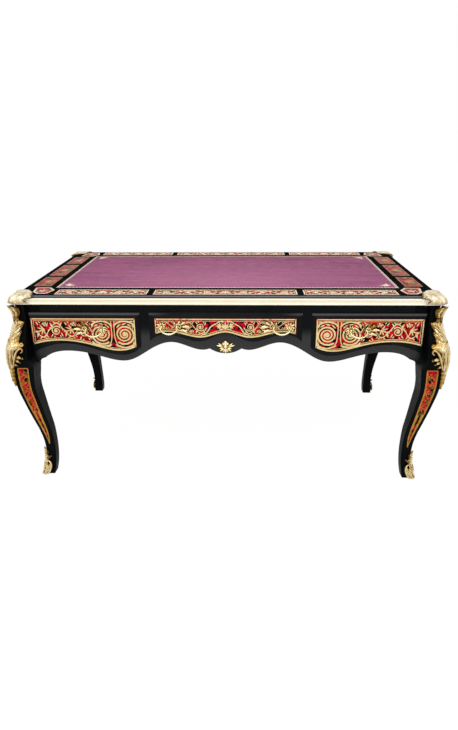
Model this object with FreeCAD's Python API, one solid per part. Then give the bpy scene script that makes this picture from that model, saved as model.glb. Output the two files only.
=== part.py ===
"""Flat-topped writing table with three drawers, brass and shell marquetry and gilt mounts.

Millimetres. +X to the right, -Y to the front, +Z up. The origin is on the floor, under the middle.
"""
import FreeCAD, Part
import math
import os

from FreeCAD import Vector

# Table top
TABLE_HEIGHT = 800.0
TOP_WIDTH = 1656.0
TOP_DEPTH = 852.0
TOP_THICKNESS = 36.0
TOP_STEP_WIDTH = 7.0
TOP_STEP_DROP = 11.0
LEATHER_THICKNESS = 2.0
LEATHER_SIDE_BORDER = 140.0
LEATHER_FRONT_BORDER = 120.0
INLAY_THICKNESS = 1.2

# Inlaid strips of the top: the width of a strip and the bare wood round it
STRIP_WIDTH = 72.0
STRIP_GAP = 24.0
LONG_STRIP_MIDDLE_SHARE = 0.405
SIDE_STRIP_MIDDLE_SHARE = 0.346
LONG_STRIP_SEAT_SHARE = 0.39
SIDE_STRIP_SEAT_SHARE = 0.465
CORNER_INLAY_REACH = 147.0
CORNER_INLAY_SHARES = [(0.64, 0.22), (0.90, 0.22), (1.0, 0.585), (0.80, 0.845), (0.395, 0.83), (0.475, 0.38)]

# Brass moulding round the top
BRASS_THICKNESS = 10.0
BRASS_HEIGHT = 25.0
BRASS_COVE_DEPTH = 4.0
BRASS_BEAD_SHARE = 0.30

# Gilt corner mounts of the top
CORNER_MOUNT_PROUD = 12.0
CORNER_MOUNT_RISE = 6.0
CORNER_MOUNT_LENGTH = 86.0
CORNER_MOUNT_DROP = 1.0
CORNER_MOUNT_INNER_SHARES = [(1.0, 0.0), (0.94, 0.30), (0.66, 0.42), (0.42, 0.66), (0.30, 0.94), (0.0, 1.0)]
CORNER_MOUNT_LOBE_SHARE = 0.10

# Case: the frame face lies behind the edge of the top, and boards are this thick
FRAME_INSET = 38.0
BOARD_THICKNESS = 22.0
POST_SIZE = 58.0
TOP_RAIL_HEIGHT = 54.0
APRON_DROP = 245.0
# Lower edge of the front and back aprons, from the middle to the leg: shares of half width and of the drop
APRON_EDGE_SHARES = [(0.087, 0.785), (0.110, 0.805), (0.287, 0.677), (0.41, 0.797), (0.536, 1.0),
                     (0.71, 0.912), (0.874, 0.837), (0.95, 0.872), (1.0, 0.96)]
APRON_LOBE_SHARE = 0.869
# Haunch that carries the apron's line into the leg: shares of its drop and of the step between post and leg
HAUNCH_DROP = 38.0
HAUNCH_SHARES = [(1.0, 0.0), (0.62, 0.10), (0.30, 0.36), (0.10, 0.72), (0.0, 1.0)]
SIDE_APRON_EDGE_SHARES = [(0.0, 0.93), (0.18, 0.98), (0.42, 0.935), (0.72, 0.845), (0.90, 0.872), (1.0, 0.96)]

# Drawer openings and the uprights between them
STILE_WIDTH = 65.0
STILE_CENTRE = 319.5
LIP_OVERLAP = 14.0
SIDE_OPENING_HEIGHT = 104.0
CENTRE_OPENING_HEIGHT = 60.0
DIVIDER_THICKNESS = 18.0
RUNNER_HEIGHT = 20.0
RUNNER_SEAT = 20.0
GUIDE_HEIGHT = 52.0
KICKER_HEIGHT = 20.0
OUTER_GUIDE_THICKNESS = 15.0
SLIDE_CLEARANCE = 0.5
RUN_CLEARANCE = 0.3

# Lipped drawer fronts, raised above the frame face, and their bevels
FRONT_PROUD = 13.0
FRONT_EDGE = 3.0
FRONT_TONGUE = 22.0
FRONT_TOP_GAP = 40.0
SIDE_FRONT_OUTER_GAP = 10.0
SIDE_FRONT_HEIGHT = 178.0
SIDE_FRONT_SHARES = [(0.0, 0.815), (0.129, 1.0), (0.42, 0.876), (0.717, 0.742), (0.90, 0.848), (1.0, 0.96)]
CENTRE_FRONT_HEIGHT = 119.0
CENTRE_FRONT_SHARES = [(-1.0, 1.0), (-0.784, 0.756), (-0.30, 1.0), (0.0, 0.706), (0.30, 1.0), (0.784, 0.756),
                       (1.0, 1.0)]
BEVEL_TOP = 19.0
BEVEL_INNER = 14.0
BEVEL_OUTER = 8.0
BEVEL_CENTRE = 21.0
SIDE_FLAT_HEIGHT = 142.0
SIDE_FLAT_SHARES = [(0.0, 0.87), (0.155, 1.0), (0.45, 0.81), (0.732, 0.69), (0.90, 0.74), (1.0, 0.82)]
CENTRE_FLAT_HEIGHT = 84.0
CENTRE_FLAT_SHARES = [(-1.0, 0.82), (-0.74, 0.72), (-0.314, 1.0), (0.0, 0.73), (0.314, 1.0), (0.74, 0.72),
                      (1.0, 0.82)]
PANEL_MARGIN = 3.0
PANEL_THICKNESS = 1.2

# Raised panel on each end of the case
END_PANEL_MARGIN = 34.0
END_PANEL_HEIGHT = 160.0
END_PANEL_SHARES = [(-1.0, 0.82), (-0.72, 0.74), (-0.30, 0.97), (0.0, 0.93), (0.30, 0.97), (0.72, 0.74),
                    (1.0, 0.82)]
END_FLAT_HEIGHT = 124.0

# Drawer boxes
DRAWER_LENGTH = 545.0
DRAWER_SIDE = 12.0
DRAWER_BACK = 12.0
DRAWER_BOTTOM = 6.0
BOTTOM_GROOVE = 5.0
BOTTOM_LIFT = 5.0

# Legs: offsets from the corner of the top to the outer arris, and thickness, at shares of the leg's height
LEG_HEIGHT_SHARES = [0.0, 0.04, 0.08, 0.132, 0.197, 0.264, 0.329, 0.395, 0.46, 0.526, 0.579, 0.631, 0.676,
                     0.712, 0.74, 0.79, 0.855, 0.92, 1.0]
LEG_ANKLE_OFFSET = 45.0
LEG_SWEEP = 67.0
LEG_SWEEP_SHARES = [0.18, 0.10, 0.03, 0.0, 0.045, 0.18, 0.36, 0.54, 0.70, 0.85, 0.925, 0.97, 0.995,
                    1.0, 0.985, 0.90, 0.66, 0.50, 0.53]
LEG_KNEE_THICKNESS = 86.0
LEG_THICKNESS_SHARES = [0.50, 0.50, 0.48, 0.475, 0.50, 0.57, 0.64, 0.71, 0.77, 0.825, 0.885, 0.965, 0.985,
                        0.79, 0.775, 0.70, 0.515, 0.40, 0.42]
LEG_ARRIS_RADIUS = 3.0
# Feet: in from the sides, out to the front and back, fading to nothing at a share of the leg's height
FOOT_INSET = 10.0
FOOT_SPLAY = 26.0
FOOT_SHIFT_SHARE = 0.53
LEG_SECTION_COUNT = 36
SEAT_GAP = 0.3

# Inlay of the legs: tapered strips on the two outer faces
LEG_INLAY_WIDTH = 46.0
LEG_INLAY_HEIGHT_SHARES = [0.175, 0.25, 0.33, 0.45, 0.664]
LEG_INLAY_WIDTH_SHARES = [0.08, 0.40, 0.58, 0.80, 1.0]
LEG_INLAY_SECTION_COUNT = 16
LEG_INLAY_CLEARANCE = 1.0

# Gilt knee mounts and shoes: cover along each face and thickness, at shares of the leg's height
KNEE_MOUNT_WIDTH = 60.0
KNEE_MOUNT_THICKNESS = 11.0
KNEE_HEIGHT_SHARES = [0.545, 0.60, 0.643, 0.665, 0.69, 0.72, 0.78, 0.84, 0.896, 0.93, 0.98]
KNEE_WIDTH_SHARES = [0.06, 0.15, 0.20, 0.37, 0.67, 0.78, 0.92, 0.53, 0.58, 0.38, 0.50]
KNEE_THICKNESS_SHARES = [0.50, 0.75, 0.85, 0.90, 0.95, 1.0, 1.0, 0.90, 0.90, 0.85, 1.30]
KNEE_SECTION_COUNT = 24
SHOE_WIDTH = 36.0
SHOE_THICKNESS = 8.0
SHOE_HEIGHT_SHARES = [0.0, 0.03, 0.07, 0.11, 0.15]
SHOE_WIDTH_SHARES = [1.0, 0.95, 0.72, 0.48, 0.14]
SHOE_THICKNESS_SHARES = [1.0, 1.0, 0.70, 0.60, 0.45]
SHOE_SECTION_COUNT = 8

# Gilt shell on the middle of each long apron
SHELL_WIDTH = 70.0
SHELL_HEIGHT = 52.0
SHELL_THICKNESS = 9.0
SHELL_LIFT = 3.0
SHELL_LOBE_COUNT = 7
SHELL_VALLEY_SHARE = 0.84
SHELL_BOSS_RADIUS = 16.0
SHELL_BOSS_RISE = 6.0

# Drawer pulls: a rosette, a hanging bow and a leaf, cast in one and held by two bolts
PULL_BOW_SPAN = 60.0
PULL_BOW_RADIUS = 4.5
PULL_BOW_TILT = 32.0
PULL_STAND = 9.0
PULL_ROSETTE_RADIUS = 15.0
PULL_LEAF_LENGTH = 70.0
PULL_LEAF_WIDTH = 30.0
PULL_PLATE = 6.0
PULL_BOLT_RADIUS = 2.5
PULL_NUT_RADIUS = 6.0
PULL_NUT_HEIGHT = 4.0
PULL_BOLT_SPARE = 3.0
# Places of the pulls: in from the upright and down from the top of the opening
SIDE_PULL_INSET = 137.0
SIDE_PULL_DROP = 53.0
CENTRE_PULL_INSET = 37.0
CENTRE_PULL_DROP = 41.0

# Glue blocks and screws that hold the top
BLOCK_LENGTH = 44.0
BLOCK_DEPTH = 30.0
BLOCK_HEIGHT = 30.0
BLOCK_PLACE_SHARE = 0.72
SCREW_RADIUS = 2.3
SCREW_HEAD_RADIUS = 4.5
SCREW_HEAD_HEIGHT = 3.0
SCREW_BITE = 18.0
HOLE_CLEARANCE = 0.3

# Worked out from the sizes above
HALF_WIDTH = TOP_WIDTH / 2
HALF_DEPTH = TOP_DEPTH / 2
UNDERSIDE = TABLE_HEIGHT - TOP_THICKNESS
BOARD_HALF_WIDTH = HALF_WIDTH - BRASS_THICKNESS
BOARD_HALF_DEPTH = HALF_DEPTH - BRASS_THICKNESS
LEATHER_HALF_WIDTH = HALF_WIDTH - LEATHER_SIDE_BORDER
LEATHER_HALF_DEPTH = HALF_DEPTH - LEATHER_FRONT_BORDER
FRAME_FRONT = -(HALF_DEPTH - FRAME_INSET)
FRAME_SIDE = HALF_WIDTH - FRAME_INSET
RAIL_BACK = FRAME_FRONT + BOARD_THICKNESS
POST_INNER = FRAME_SIDE - POST_SIZE
POST_INNER_DEPTH = -FRAME_FRONT - POST_SIZE
OPENING_TOP = UNDERSIDE - TOP_RAIL_HEIGHT
SIDE_OPENING_BOTTOM = OPENING_TOP - SIDE_OPENING_HEIGHT
CENTRE_OPENING_BOTTOM = OPENING_TOP - CENTRE_OPENING_HEIGHT
STILE_INNER = STILE_CENTRE - STILE_WIDTH / 2
STILE_OUTER = STILE_CENTRE + STILE_WIDTH / 2
SIDE_BOX_OUTER = POST_INNER - OUTER_GUIDE_THICKNESS - SLIDE_CLEARANCE
SIDE_PULL_PLACE = STILE_OUTER + SIDE_PULL_INSET
SIDE_PULL_HEIGHT = OPENING_TOP - SIDE_PULL_DROP
CENTRE_PULL_PLACE = STILE_INNER - CENTRE_PULL_INSET
CENTRE_PULL_HEIGHT = OPENING_TOP - CENTRE_PULL_DROP
FRONT_TOP = UNDERSIDE - FRONT_TOP_GAP
FRONT_BACK = FRAME_FRONT - RUN_CLEARANCE
FRONT_FACE = FRAME_FRONT - FRONT_PROUD
TONGUE_BACK = FRONT_BACK + FRONT_TONGUE
BOX_BACK = FRONT_BACK + DRAWER_LENGTH
SIDE_FRONT_INNER = STILE_OUTER - LIP_OVERLAP
SIDE_FRONT_OUTER = FRAME_SIDE - SIDE_FRONT_OUTER_GAP
CENTRE_FRONT_HALF = STILE_INNER + LIP_OVERLAP
PANEL_FACE = FRONT_FACE - PANEL_THICKNESS
OVERRUN = TOP_THICKNESS


def save(name, *solids):
    """Write one node: a single solid, or several that stay separate."""
    shape = solids[0] if len(solids) == 1 else Part.makeCompound(list(solids))
    shape.exportStep(os.path.join("parts", name + ".step"))


def block(x0, x1, y0, y1, z0, z1):
    """A box between two corners."""
    return Part.makeBox(x1 - x0, y1 - y0, z1 - z0, Vector(x0, y0, z0))


def upright(solid):
    """The same solid, turned right side out if needed."""
    if solid.Volume < 0:
        solid.reverse()
    return solid


def mirrored(solid):
    """The solid's twin on the other side of the middle plane."""
    return upright(solid.mirror(Vector(0, 0, 0), Vector(1, 0, 0)))


def turned(solid):
    """The solid turned half round the vertical axis, for the back."""
    twin = solid.copy()
    twin.rotate(Vector(0, 0, 0), Vector(0, 0, 1), 180)
    return twin


def curve_through(points):
    """A smooth edge through the given points."""
    spline = Part.BSplineCurve()
    spline.interpolate(points)
    return spline.toShape()


def line(first, second):
    """A straight edge."""
    return Part.LineSegment(first, second).toShape()


def shaped_outline(left, right, top, bottom_points, y):
    """A wire with straight top and sides and a curved lower edge, upright in the plane y."""
    lower = [Vector(x, y, z) for x, z in bottom_points]
    top_left = Vector(left, y, top)
    top_right = Vector(right, y, top)
    edges = [line(top_left, top_right), line(top_right, lower[-1])]
    edges += [curve_through(lower[::-1]), line(lower[0], top_left)]
    return Part.Wire(edges)


def extruded(wire, depth):
    """A board cut along the wire and as thick as depth, along +Y."""
    return Part.Face(wire).extrude(Vector(0, depth, 0))


def side_outline(inner, outer, top, height, shares, y):
    """The outline of a side drawer's front, with its bottom in shares of width and height."""
    points = [(inner + (outer - inner) * across, top - height * down) for across, down in shares]
    return shaped_outline(inner, outer, top, points, y)


def middle_outline(half, top, height, shares, y):
    """The outline of a front that is symmetrical about the middle."""
    points = [(half * across, top - height * down) for across, down in shares]
    return shaped_outline(-half, half, top, points, y)


# The three raised fronts: the lip's outline, the flat inside its bevel, and the marquetry panel on the flat


def side_lip_outline(y):
    """The lip of a side drawer's front."""
    return side_outline(SIDE_FRONT_INNER, SIDE_FRONT_OUTER, FRONT_TOP, SIDE_FRONT_HEIGHT,
                        SIDE_FRONT_SHARES, y)


def side_flat_outline(y, margin):
    """The flat of a side drawer's front, drawn in by a margin."""
    inner = SIDE_FRONT_INNER + BEVEL_INNER + margin
    outer = SIDE_FRONT_OUTER - BEVEL_OUTER - margin
    top = FRONT_TOP - BEVEL_TOP - margin
    return side_outline(inner, outer, top, SIDE_FLAT_HEIGHT - 2 * margin, SIDE_FLAT_SHARES, y)


def centre_lip_outline(y):
    """The lip of the middle drawer's front."""
    return middle_outline(CENTRE_FRONT_HALF, FRONT_TOP, CENTRE_FRONT_HEIGHT, CENTRE_FRONT_SHARES, y)


def centre_flat_outline(y, margin):
    """The flat of the middle drawer's front, drawn in by a margin."""
    half = CENTRE_FRONT_HALF - BEVEL_CENTRE - margin
    return middle_outline(half, FRONT_TOP - BEVEL_TOP - margin, CENTRE_FLAT_HEIGHT - 2 * margin,
                          CENTRE_FLAT_SHARES, y)


def end_outline(inset, height, y):
    """The outline of the raised panel on an end of the case, as if it faced the front."""
    half = POST_INNER_DEPTH - END_PANEL_MARGIN - inset
    return middle_outline(half, FRONT_TOP - inset, height, END_PANEL_SHARES, y)


def raised_front(lip_outline, flat_outline, back):
    """A lip with a short square edge and a bevel up to its flat."""
    edge = FRONT_FACE + FRONT_PROUD - FRONT_EDGE
    sections = [lip_outline(back), lip_outline(edge), flat_outline(FRONT_FACE)]
    return upright(Part.makeLoft(sections, True, True))


def side_raised(back):
    """The raised front on the right-hand side."""
    return raised_front(side_lip_outline, lambda y: side_flat_outline(y, 0), back)


def centre_raised(back):
    """The raised front in the middle."""
    return raised_front(centre_lip_outline, lambda y: centre_flat_outline(y, 0), back)


def side_panel():
    """The marquetry panel of the right-hand front."""
    return extruded(side_flat_outline(PANEL_FACE, PANEL_MARGIN), PANEL_THICKNESS)


def centre_panel():
    """The marquetry panel of the middle front."""
    return extruded(centre_flat_outline(PANEL_FACE, PANEL_MARGIN), PANEL_THICKNESS)


# Legs and what is fixed to them, in offsets inward from a corner of the top


def corner_point(side, end, across, along, height):
    """A point given by its offsets inward from the corner (side, end) of the top."""
    return Vector(side * (HALF_WIDTH - across), end * (HALF_DEPTH - along), height)


def eased(place, places, values):
    """The value at a place of a smooth curve through a table."""
    last = len(places) - 1
    slopes = []
    for index in range(last + 1):
        before = max(index - 1, 0)
        after = min(index + 1, last)
        slopes.append((values[after] - values[before]) / (places[after] - places[before]))
    index = max(i for i in range(last) if places[i] <= place or i == 0)
    step = places[index + 1] - places[index]
    t = (place - places[index]) / step
    start = (1 + 2 * t) * (1 - t) ** 2 * values[index] + t * (1 - t) ** 2 * step * slopes[index]
    finish = t * t * (3 - 2 * t) * values[index + 1] - t * t * (1 - t) * step * slopes[index + 1]
    return start + finish


def steps(first, last, count):
    """Evenly spaced shares from first to last."""
    return [first + (last - first) * index / count for index in range(count + 1)]


def leg_offset(share):
    """How far the leg's outer arris lies inside the corner of the top."""
    return LEG_ANKLE_OFFSET - LEG_SWEEP * eased(share, LEG_HEIGHT_SHARES, LEG_SWEEP_SHARES)


def leg_thickness(share):
    """The leg's thickness at a height share."""
    return LEG_KNEE_THICKNESS * eased(share, LEG_HEIGHT_SHARES, LEG_THICKNESS_SHARES)


def leg_point(side, end, across, along, height):
    """A point of a leg: offsets inward from the corner, with the foot's shift at that height."""
    shift = max(1 - height / (FOOT_SHIFT_SHARE * UNDERSIDE), 0) ** 1.5
    return corner_point(side, end, across + FOOT_INSET * shift, along - FOOT_SPLAY * shift, height)


def polygon_section(side, end, offsets, height):
    """A closed wire through offsets (across, along) at one height."""
    points = [leg_point(side, end, across, along, height) for across, along in offsets]
    return Part.makePolygon(points + points[:1])


def rounded_section(side, end, near, far, height):
    """A square section with rounded arrises."""
    r = LEG_ARRIS_RADIUS
    d = r * (1 - math.sqrt(0.5))
    corners = [((near, near + r), (near + d, near + d), (near + r, near)),
               ((far - r, near), (far - d, near + d), (far, near + r)),
               ((far, far - r), (far - d, far - d), (far - r, far)),
               ((near + r, far), (near + d, far - d), (near, far - r))]
    points = [[leg_point(side, end, u, v, height) for u, v in corner] for corner in corners]
    edges = []
    for index, (start, middle, finish) in enumerate(points):
        edges.append(Part.Arc(start, middle, finish).toShape())
        edges.append(line(finish, points[(index + 1) % len(points)][0]))
    return Part.Wire(edges)


def haunch(side, end, foot):
    """The curved block under the post that carries the apron's line into the leg."""
    sections = []
    for down, out in HAUNCH_SHARES:
        height = foot - HAUNCH_DROP * down
        share = height / UNDERSIDE
        inner = leg_offset(share) + leg_thickness(share) - LEG_ARRIS_RADIUS
        far = inner + (FRAME_INSET + POST_SIZE - inner) * out
        square = [(FRAME_INSET, FRAME_INSET), (far, FRAME_INSET), (far, far), (FRAME_INSET, far)]
        sections.append(polygon_section(side, end, square, height))
    return upright(Part.makeLoft(sections, True))


def leg(side, end):
    """A curved leg with the square post behind the frame faces."""
    sections = []
    for share in steps(0, 1, LEG_SECTION_COUNT):
        near = leg_offset(share)
        sections.append(rounded_section(side, end, near, near + leg_thickness(share), share * UNDERSIDE))
    curved = upright(Part.makeLoft(sections, True))
    foot = UNDERSIDE - APRON_DROP * APRON_EDGE_SHARES[-1][1]
    far = FRAME_INSET + POST_SIZE
    square = [(FRAME_INSET, FRAME_INSET), (far, FRAME_INSET), (far, far), (FRAME_INSET, far)]
    post = Part.Face(polygon_section(side, end, square, foot)).extrude(Vector(0, 0, UNDERSIDE - foot))
    return curved.fuse([upright(post), haunch(side, end, foot)]).removeSplitter()


def arris_mount(side, end, places, count, width, widths, thickness, thicknesses):
    """A casting that wraps the outer arris of a leg, just clear of the wood."""
    sections = []
    for share in steps(places[0], places[-1], count):
        seat = leg_offset(share) - SEAT_GAP
        outer = seat - thickness * eased(share, places, thicknesses)
        reach = seat + width * eased(share, places, widths)
        offsets = [(outer, outer), (reach, outer), (reach, seat), (seat, seat), (seat, reach), (outer, reach)]
        sections.append(polygon_section(side, end, offsets, share * UNDERSIDE))
    return upright(Part.makeLoft(sections, True))


def knee_mount(side, end):
    """The long leaf mount on the knee."""
    return arris_mount(side, end, KNEE_HEIGHT_SHARES, KNEE_SECTION_COUNT, KNEE_MOUNT_WIDTH, KNEE_WIDTH_SHARES,
                       KNEE_MOUNT_THICKNESS, KNEE_THICKNESS_SHARES)


def shoe(side, end):
    """The gilt shoe on the foot."""
    return arris_mount(side, end, SHOE_HEIGHT_SHARES, SHOE_SECTION_COUNT, SHOE_WIDTH, SHOE_WIDTH_SHARES,
                       SHOE_THICKNESS, SHOE_THICKNESS_SHARES)


def knee_mount_reach(share):
    """How far the knee mount reaches along a face of the leg, as an offset from the corner of the top."""
    place = max(share, KNEE_HEIGHT_SHARES[0])
    return leg_offset(share) + KNEE_MOUNT_WIDTH * eased(place, KNEE_HEIGHT_SHARES, KNEE_WIDTH_SHARES)


def leg_inlays(side, end):
    """The tapered strips on the two outer faces of a leg."""
    places = LEG_INLAY_HEIGHT_SHARES
    front = []
    flank = []
    for share in steps(places[0], places[-1], LEG_INLAY_SECTION_COUNT):
        seat = leg_offset(share) - SEAT_GAP
        face = seat - PANEL_THICKNESS
        middle = leg_offset(share) + leg_thickness(share) / 2
        half = LEG_INLAY_WIDTH * eased(share, places, LEG_INLAY_WIDTH_SHARES) / 2
        first = max(middle - half, knee_mount_reach(share) + LEG_INLAY_CLEARANCE)
        last = middle + half
        strip = [(first, face), (last, face), (last, seat), (first, seat)]
        front.append(polygon_section(side, end, strip, share * UNDERSIDE))
        flank.append(polygon_section(side, end, [(v, u) for u, v in strip], share * UNDERSIDE))
    return [upright(Part.makeLoft(front, True)), upright(Part.makeLoft(flank, True))]


# Table top


def spans(middle_half, reach):
    """A middle span and the two beside it, with the strip gap between."""
    inner = middle_half + STRIP_GAP
    return [(-middle_half, middle_half), (inner, reach), (-reach, -inner)]


def strip_block(x0, x1, y0, y1):
    """One inlaid strip, flush with the top."""
    return block(x0, x1, y0, y1, TABLE_HEIGHT - INLAY_THICKNESS, TABLE_HEIGHT)


def top_inlays():
    """All inlaid strips and corner pieces of the top."""
    half = STRIP_WIDTH / 2
    pieces = []
    for sign in (-1, 1):
        seat = sign * (BOARD_HALF_DEPTH - LEATHER_FRONT_BORDER * LONG_STRIP_SEAT_SHARE)
        for x0, x1 in spans(LEATHER_HALF_WIDTH * LONG_STRIP_MIDDLE_SHARE, LEATHER_HALF_WIDTH - STRIP_GAP):
            pieces.append(strip_block(x0, x1, seat - half, seat + half))
        seat = sign * (BOARD_HALF_WIDTH - LEATHER_SIDE_BORDER * SIDE_STRIP_SEAT_SHARE)
        for y0, y1 in spans(LEATHER_HALF_DEPTH * SIDE_STRIP_MIDDLE_SHARE, LEATHER_HALF_DEPTH - STRIP_GAP):
            pieces.append(strip_block(seat - half, seat + half, y0, y1))
    kite = [(CORNER_INLAY_REACH * u, CORNER_INLAY_REACH * v) for u, v in CORNER_INLAY_SHARES]
    for side, end in CORNERS:
        wire = polygon_section(side, end, kite, TABLE_HEIGHT - INLAY_THICKNESS)
        pieces.append(upright(Part.Face(wire).extrude(Vector(0, 0, INLAY_THICKNESS))))
    return pieces


def leather_block():
    """The leather sheet, flush with the top."""
    return block(-LEATHER_HALF_WIDTH, LEATHER_HALF_WIDTH, -LEATHER_HALF_DEPTH, LEATHER_HALF_DEPTH,
                 TABLE_HEIGHT - LEATHER_THICKNESS, TABLE_HEIGHT)


def top_board(inlays, leather):
    """The wooden board with its stepped edge and the seats of the leather and inlays."""
    board = block(-BOARD_HALF_WIDTH, BOARD_HALF_WIDTH, -BOARD_HALF_DEPTH, BOARD_HALF_DEPTH, UNDERSIDE,
                  TABLE_HEIGHT - TOP_STEP_DROP)
    raised = block(TOP_STEP_WIDTH - BOARD_HALF_WIDTH, BOARD_HALF_WIDTH - TOP_STEP_WIDTH,
                   TOP_STEP_WIDTH - BOARD_HALF_DEPTH, BOARD_HALF_DEPTH - TOP_STEP_WIDTH,
                   TABLE_HEIGHT - TOP_STEP_DROP, TABLE_HEIGHT)
    return board.fuse(raised).removeSplitter().cut(inlays + [leather])


def brass_profile():
    """The moulding's section, outward along x and up along y: two beads with a cove between."""
    t = BRASS_THICKNESS
    bead = BRASS_HEIGHT * BRASS_BEAD_SHARE
    waist = t - BRASS_COVE_DEPTH
    return [((0, 0), None), ((waist, 0), None), ((waist, bead), (t, bead / 2)),
            ((waist, BRASS_HEIGHT - bead), None), ((waist, BRASS_HEIGHT), (t, BRASS_HEIGHT - bead / 2)),
            ((0, BRASS_HEIGHT), None)]


def brass_strip(length, seat):
    """A moulding along X on the front edge, mitred at both ends; seat is the board's edge."""
    def place(point):
        return Vector(-length / 2 - BRASS_THICKNESS, -seat - point[0], UNDERSIDE + point[1])

    profile = brass_profile()
    edges = []
    for (start, _), (finish, via) in zip(profile, profile[1:] + profile[:1]):
        if via:
            edges.append(Part.Arc(place(start), place(via), place(finish)).toShape())
        else:
            edges.append(line(place(start), place(finish)))
    reach = length + 2 * BRASS_THICKNESS
    strip = Part.Face(Part.Wire(edges)).extrude(Vector(reach, 0, 0))
    half = length / 2
    mitre = [Vector(-half, -seat, 0), Vector(half, -seat, 0), Vector(half + OVERRUN, -seat - OVERRUN, 0),
             Vector(-half - OVERRUN, -seat - OVERRUN, 0)]
    keep = Part.Face(Part.makePolygon(mitre + mitre[:1])).extrude(Vector(0, 0, TABLE_HEIGHT))
    return upright(strip).common(upright(keep))


def quarter_turned(solid):
    """The solid turned a quarter round the vertical axis, from the front to the right."""
    twin = solid.copy()
    twin.rotate(Vector(0, 0, 0), Vector(0, 0, 1), 90)
    return twin


def corner_mount(side, end):
    """A lobed clasp over a corner of the top, hollow where the top goes in."""
    size = CORNER_MOUNT_LENGTH
    inner = [(u * size, v * size) for u, v in CORNER_MOUNT_INNER_SHARES]
    proud = -CORNER_MOUNT_PROUD
    bottom = UNDERSIDE - CORNER_MOUNT_DROP
    points = [corner_point(side, end, u, v, bottom) for u, v in inner]
    edges = []
    for (u0, v0), (u1, v1), first, last in zip(inner, inner[1:], points, points[1:]):
        bulge = CORNER_MOUNT_LOBE_SHARE * size
        middle = corner_point(side, end, (u0 + u1 + bulge) / 2, (v0 + v1 + bulge) / 2, bottom)
        edges.append(Part.Arc(first, middle, last).toShape())
    outside = [points[-1], corner_point(side, end, proud, size, bottom),
               corner_point(side, end, proud, proud, bottom),
               corner_point(side, end, size, proud, bottom), points[0]]
    edges += [line(first, last) for first, last in zip(outside, outside[1:])]
    height = TABLE_HEIGHT + CORNER_MOUNT_RISE - bottom
    solid = upright(Part.Face(Part.Wire(edges)).extrude(Vector(0, 0, height)))
    hollow = block(-HALF_WIDTH, HALF_WIDTH, -HALF_DEPTH, HALF_DEPTH, bottom - OVERRUN, TABLE_HEIGHT)
    return solid.cut(hollow)


# Case


def apron_points(half, drop_from):
    """The lower edge of a long apron on the right, from the cusp to the leg, as (x, z)."""
    return [(half * across, drop_from - APRON_DROP * down) for across, down in APRON_EDGE_SHARES]


def long_apron(top_points, y):
    """A board between the posts, with a given top line from right to left and the shaped lower edge."""
    right = [Vector(x, y, z) for x, z in apron_points(POST_INNER, UNDERSIDE)]
    left = [Vector(-point.x, y, point.z) for point in right]
    lobe = Vector(0, y, UNDERSIDE - APRON_DROP * APRON_LOBE_SHARE)
    edges = [curve_through(left[::-1]), Part.Arc(left[0], lobe, right[0]).toShape(), curve_through(right)]
    top = [right[-1]] + [Vector(x, y, z) for x, z in top_points] + [left[-1]]
    edges += [line(first, last) for first, last in zip(top, top[1:])]
    return upright(extruded(Part.Wire(edges), BOARD_THICKNESS))


def front_apron():
    """The front rail under the drawers, stepped up under the middle one."""
    right = [(POST_INNER, SIDE_OPENING_BOTTOM), (STILE_OUTER, SIDE_OPENING_BOTTOM),
             (STILE_OUTER, CENTRE_OPENING_BOTTOM)]
    left = [(-x, z) for x, z in right[::-1]]
    return long_apron(right + left, FRAME_FRONT)


def back_apron():
    """The solid board at the back."""
    return long_apron([(POST_INNER, UNDERSIDE), (-POST_INNER, UNDERSIDE)], -RAIL_BACK)


def end_apron():
    """The board at the right end, with its own shaped lower edge."""
    half = POST_INNER_DEPTH
    points = [(half * across, UNDERSIDE - APRON_DROP * down) for across, down in SIDE_APRON_EDGE_SHARES]
    points = [(-y, z) for y, z in points[:0:-1]] + points
    wire = shaped_outline(-half, half, UNDERSIDE, points, -FRAME_SIDE)
    return quarter_turned(upright(extruded(wire, BOARD_THICKNESS)))


def end_raised():
    """The raised panel on the right end."""
    wires = [end_outline(0, END_PANEL_HEIGHT, -FRAME_SIDE),
             end_outline(0, END_PANEL_HEIGHT, -FRAME_SIDE - FRONT_EDGE),
             end_outline(BEVEL_TOP, END_FLAT_HEIGHT, -FRAME_SIDE - FRONT_PROUD)]
    return quarter_turned(upright(Part.makeLoft(wires, True, True)))


def end_marquetry():
    """The marquetry panel on the right end."""
    face = -FRAME_SIDE - FRONT_PROUD - PANEL_THICKNESS
    wire = end_outline(BEVEL_TOP + PANEL_MARGIN, END_FLAT_HEIGHT - 2 * PANEL_MARGIN, face)
    return quarter_turned(upright(extruded(wire, PANEL_THICKNESS)))


def stile():
    """The upright right of the middle drawer."""
    return block(STILE_INNER, STILE_OUTER, FRAME_FRONT, RAIL_BACK, CENTRE_OPENING_BOTTOM, OPENING_TOP)


def divider():
    """The inner board behind the right-hand upright."""
    half = DIVIDER_THICKNESS / 2
    return block(STILE_CENTRE - half, STILE_CENTRE + half, RAIL_BACK, -RAIL_BACK,
                 SIDE_OPENING_BOTTOM - RUNNER_HEIGHT, UNDERSIDE)


def runner(wall, guide, seat, top):
    """A runner against a wall: the guide stands up beside the drawer, the seat carries it."""
    low = top - RUNNER_HEIGHT
    upper = block(min(wall, guide), max(wall, guide), RAIL_BACK, -RAIL_BACK, low, low + GUIDE_HEIGHT)
    lower = block(min(wall, seat), max(wall, seat), RAIL_BACK, -RAIL_BACK, low, top)
    return upper.fuse(lower).removeSplitter()


def kicker(wall, seat):
    """A strip above a drawer's side that keeps the drawer level when it is pulled out."""
    return block(min(wall, seat), max(wall, seat), RAIL_BACK, -RAIL_BACK, OPENING_TOP,
                 OPENING_TOP + KICKER_HEIGHT)


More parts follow.
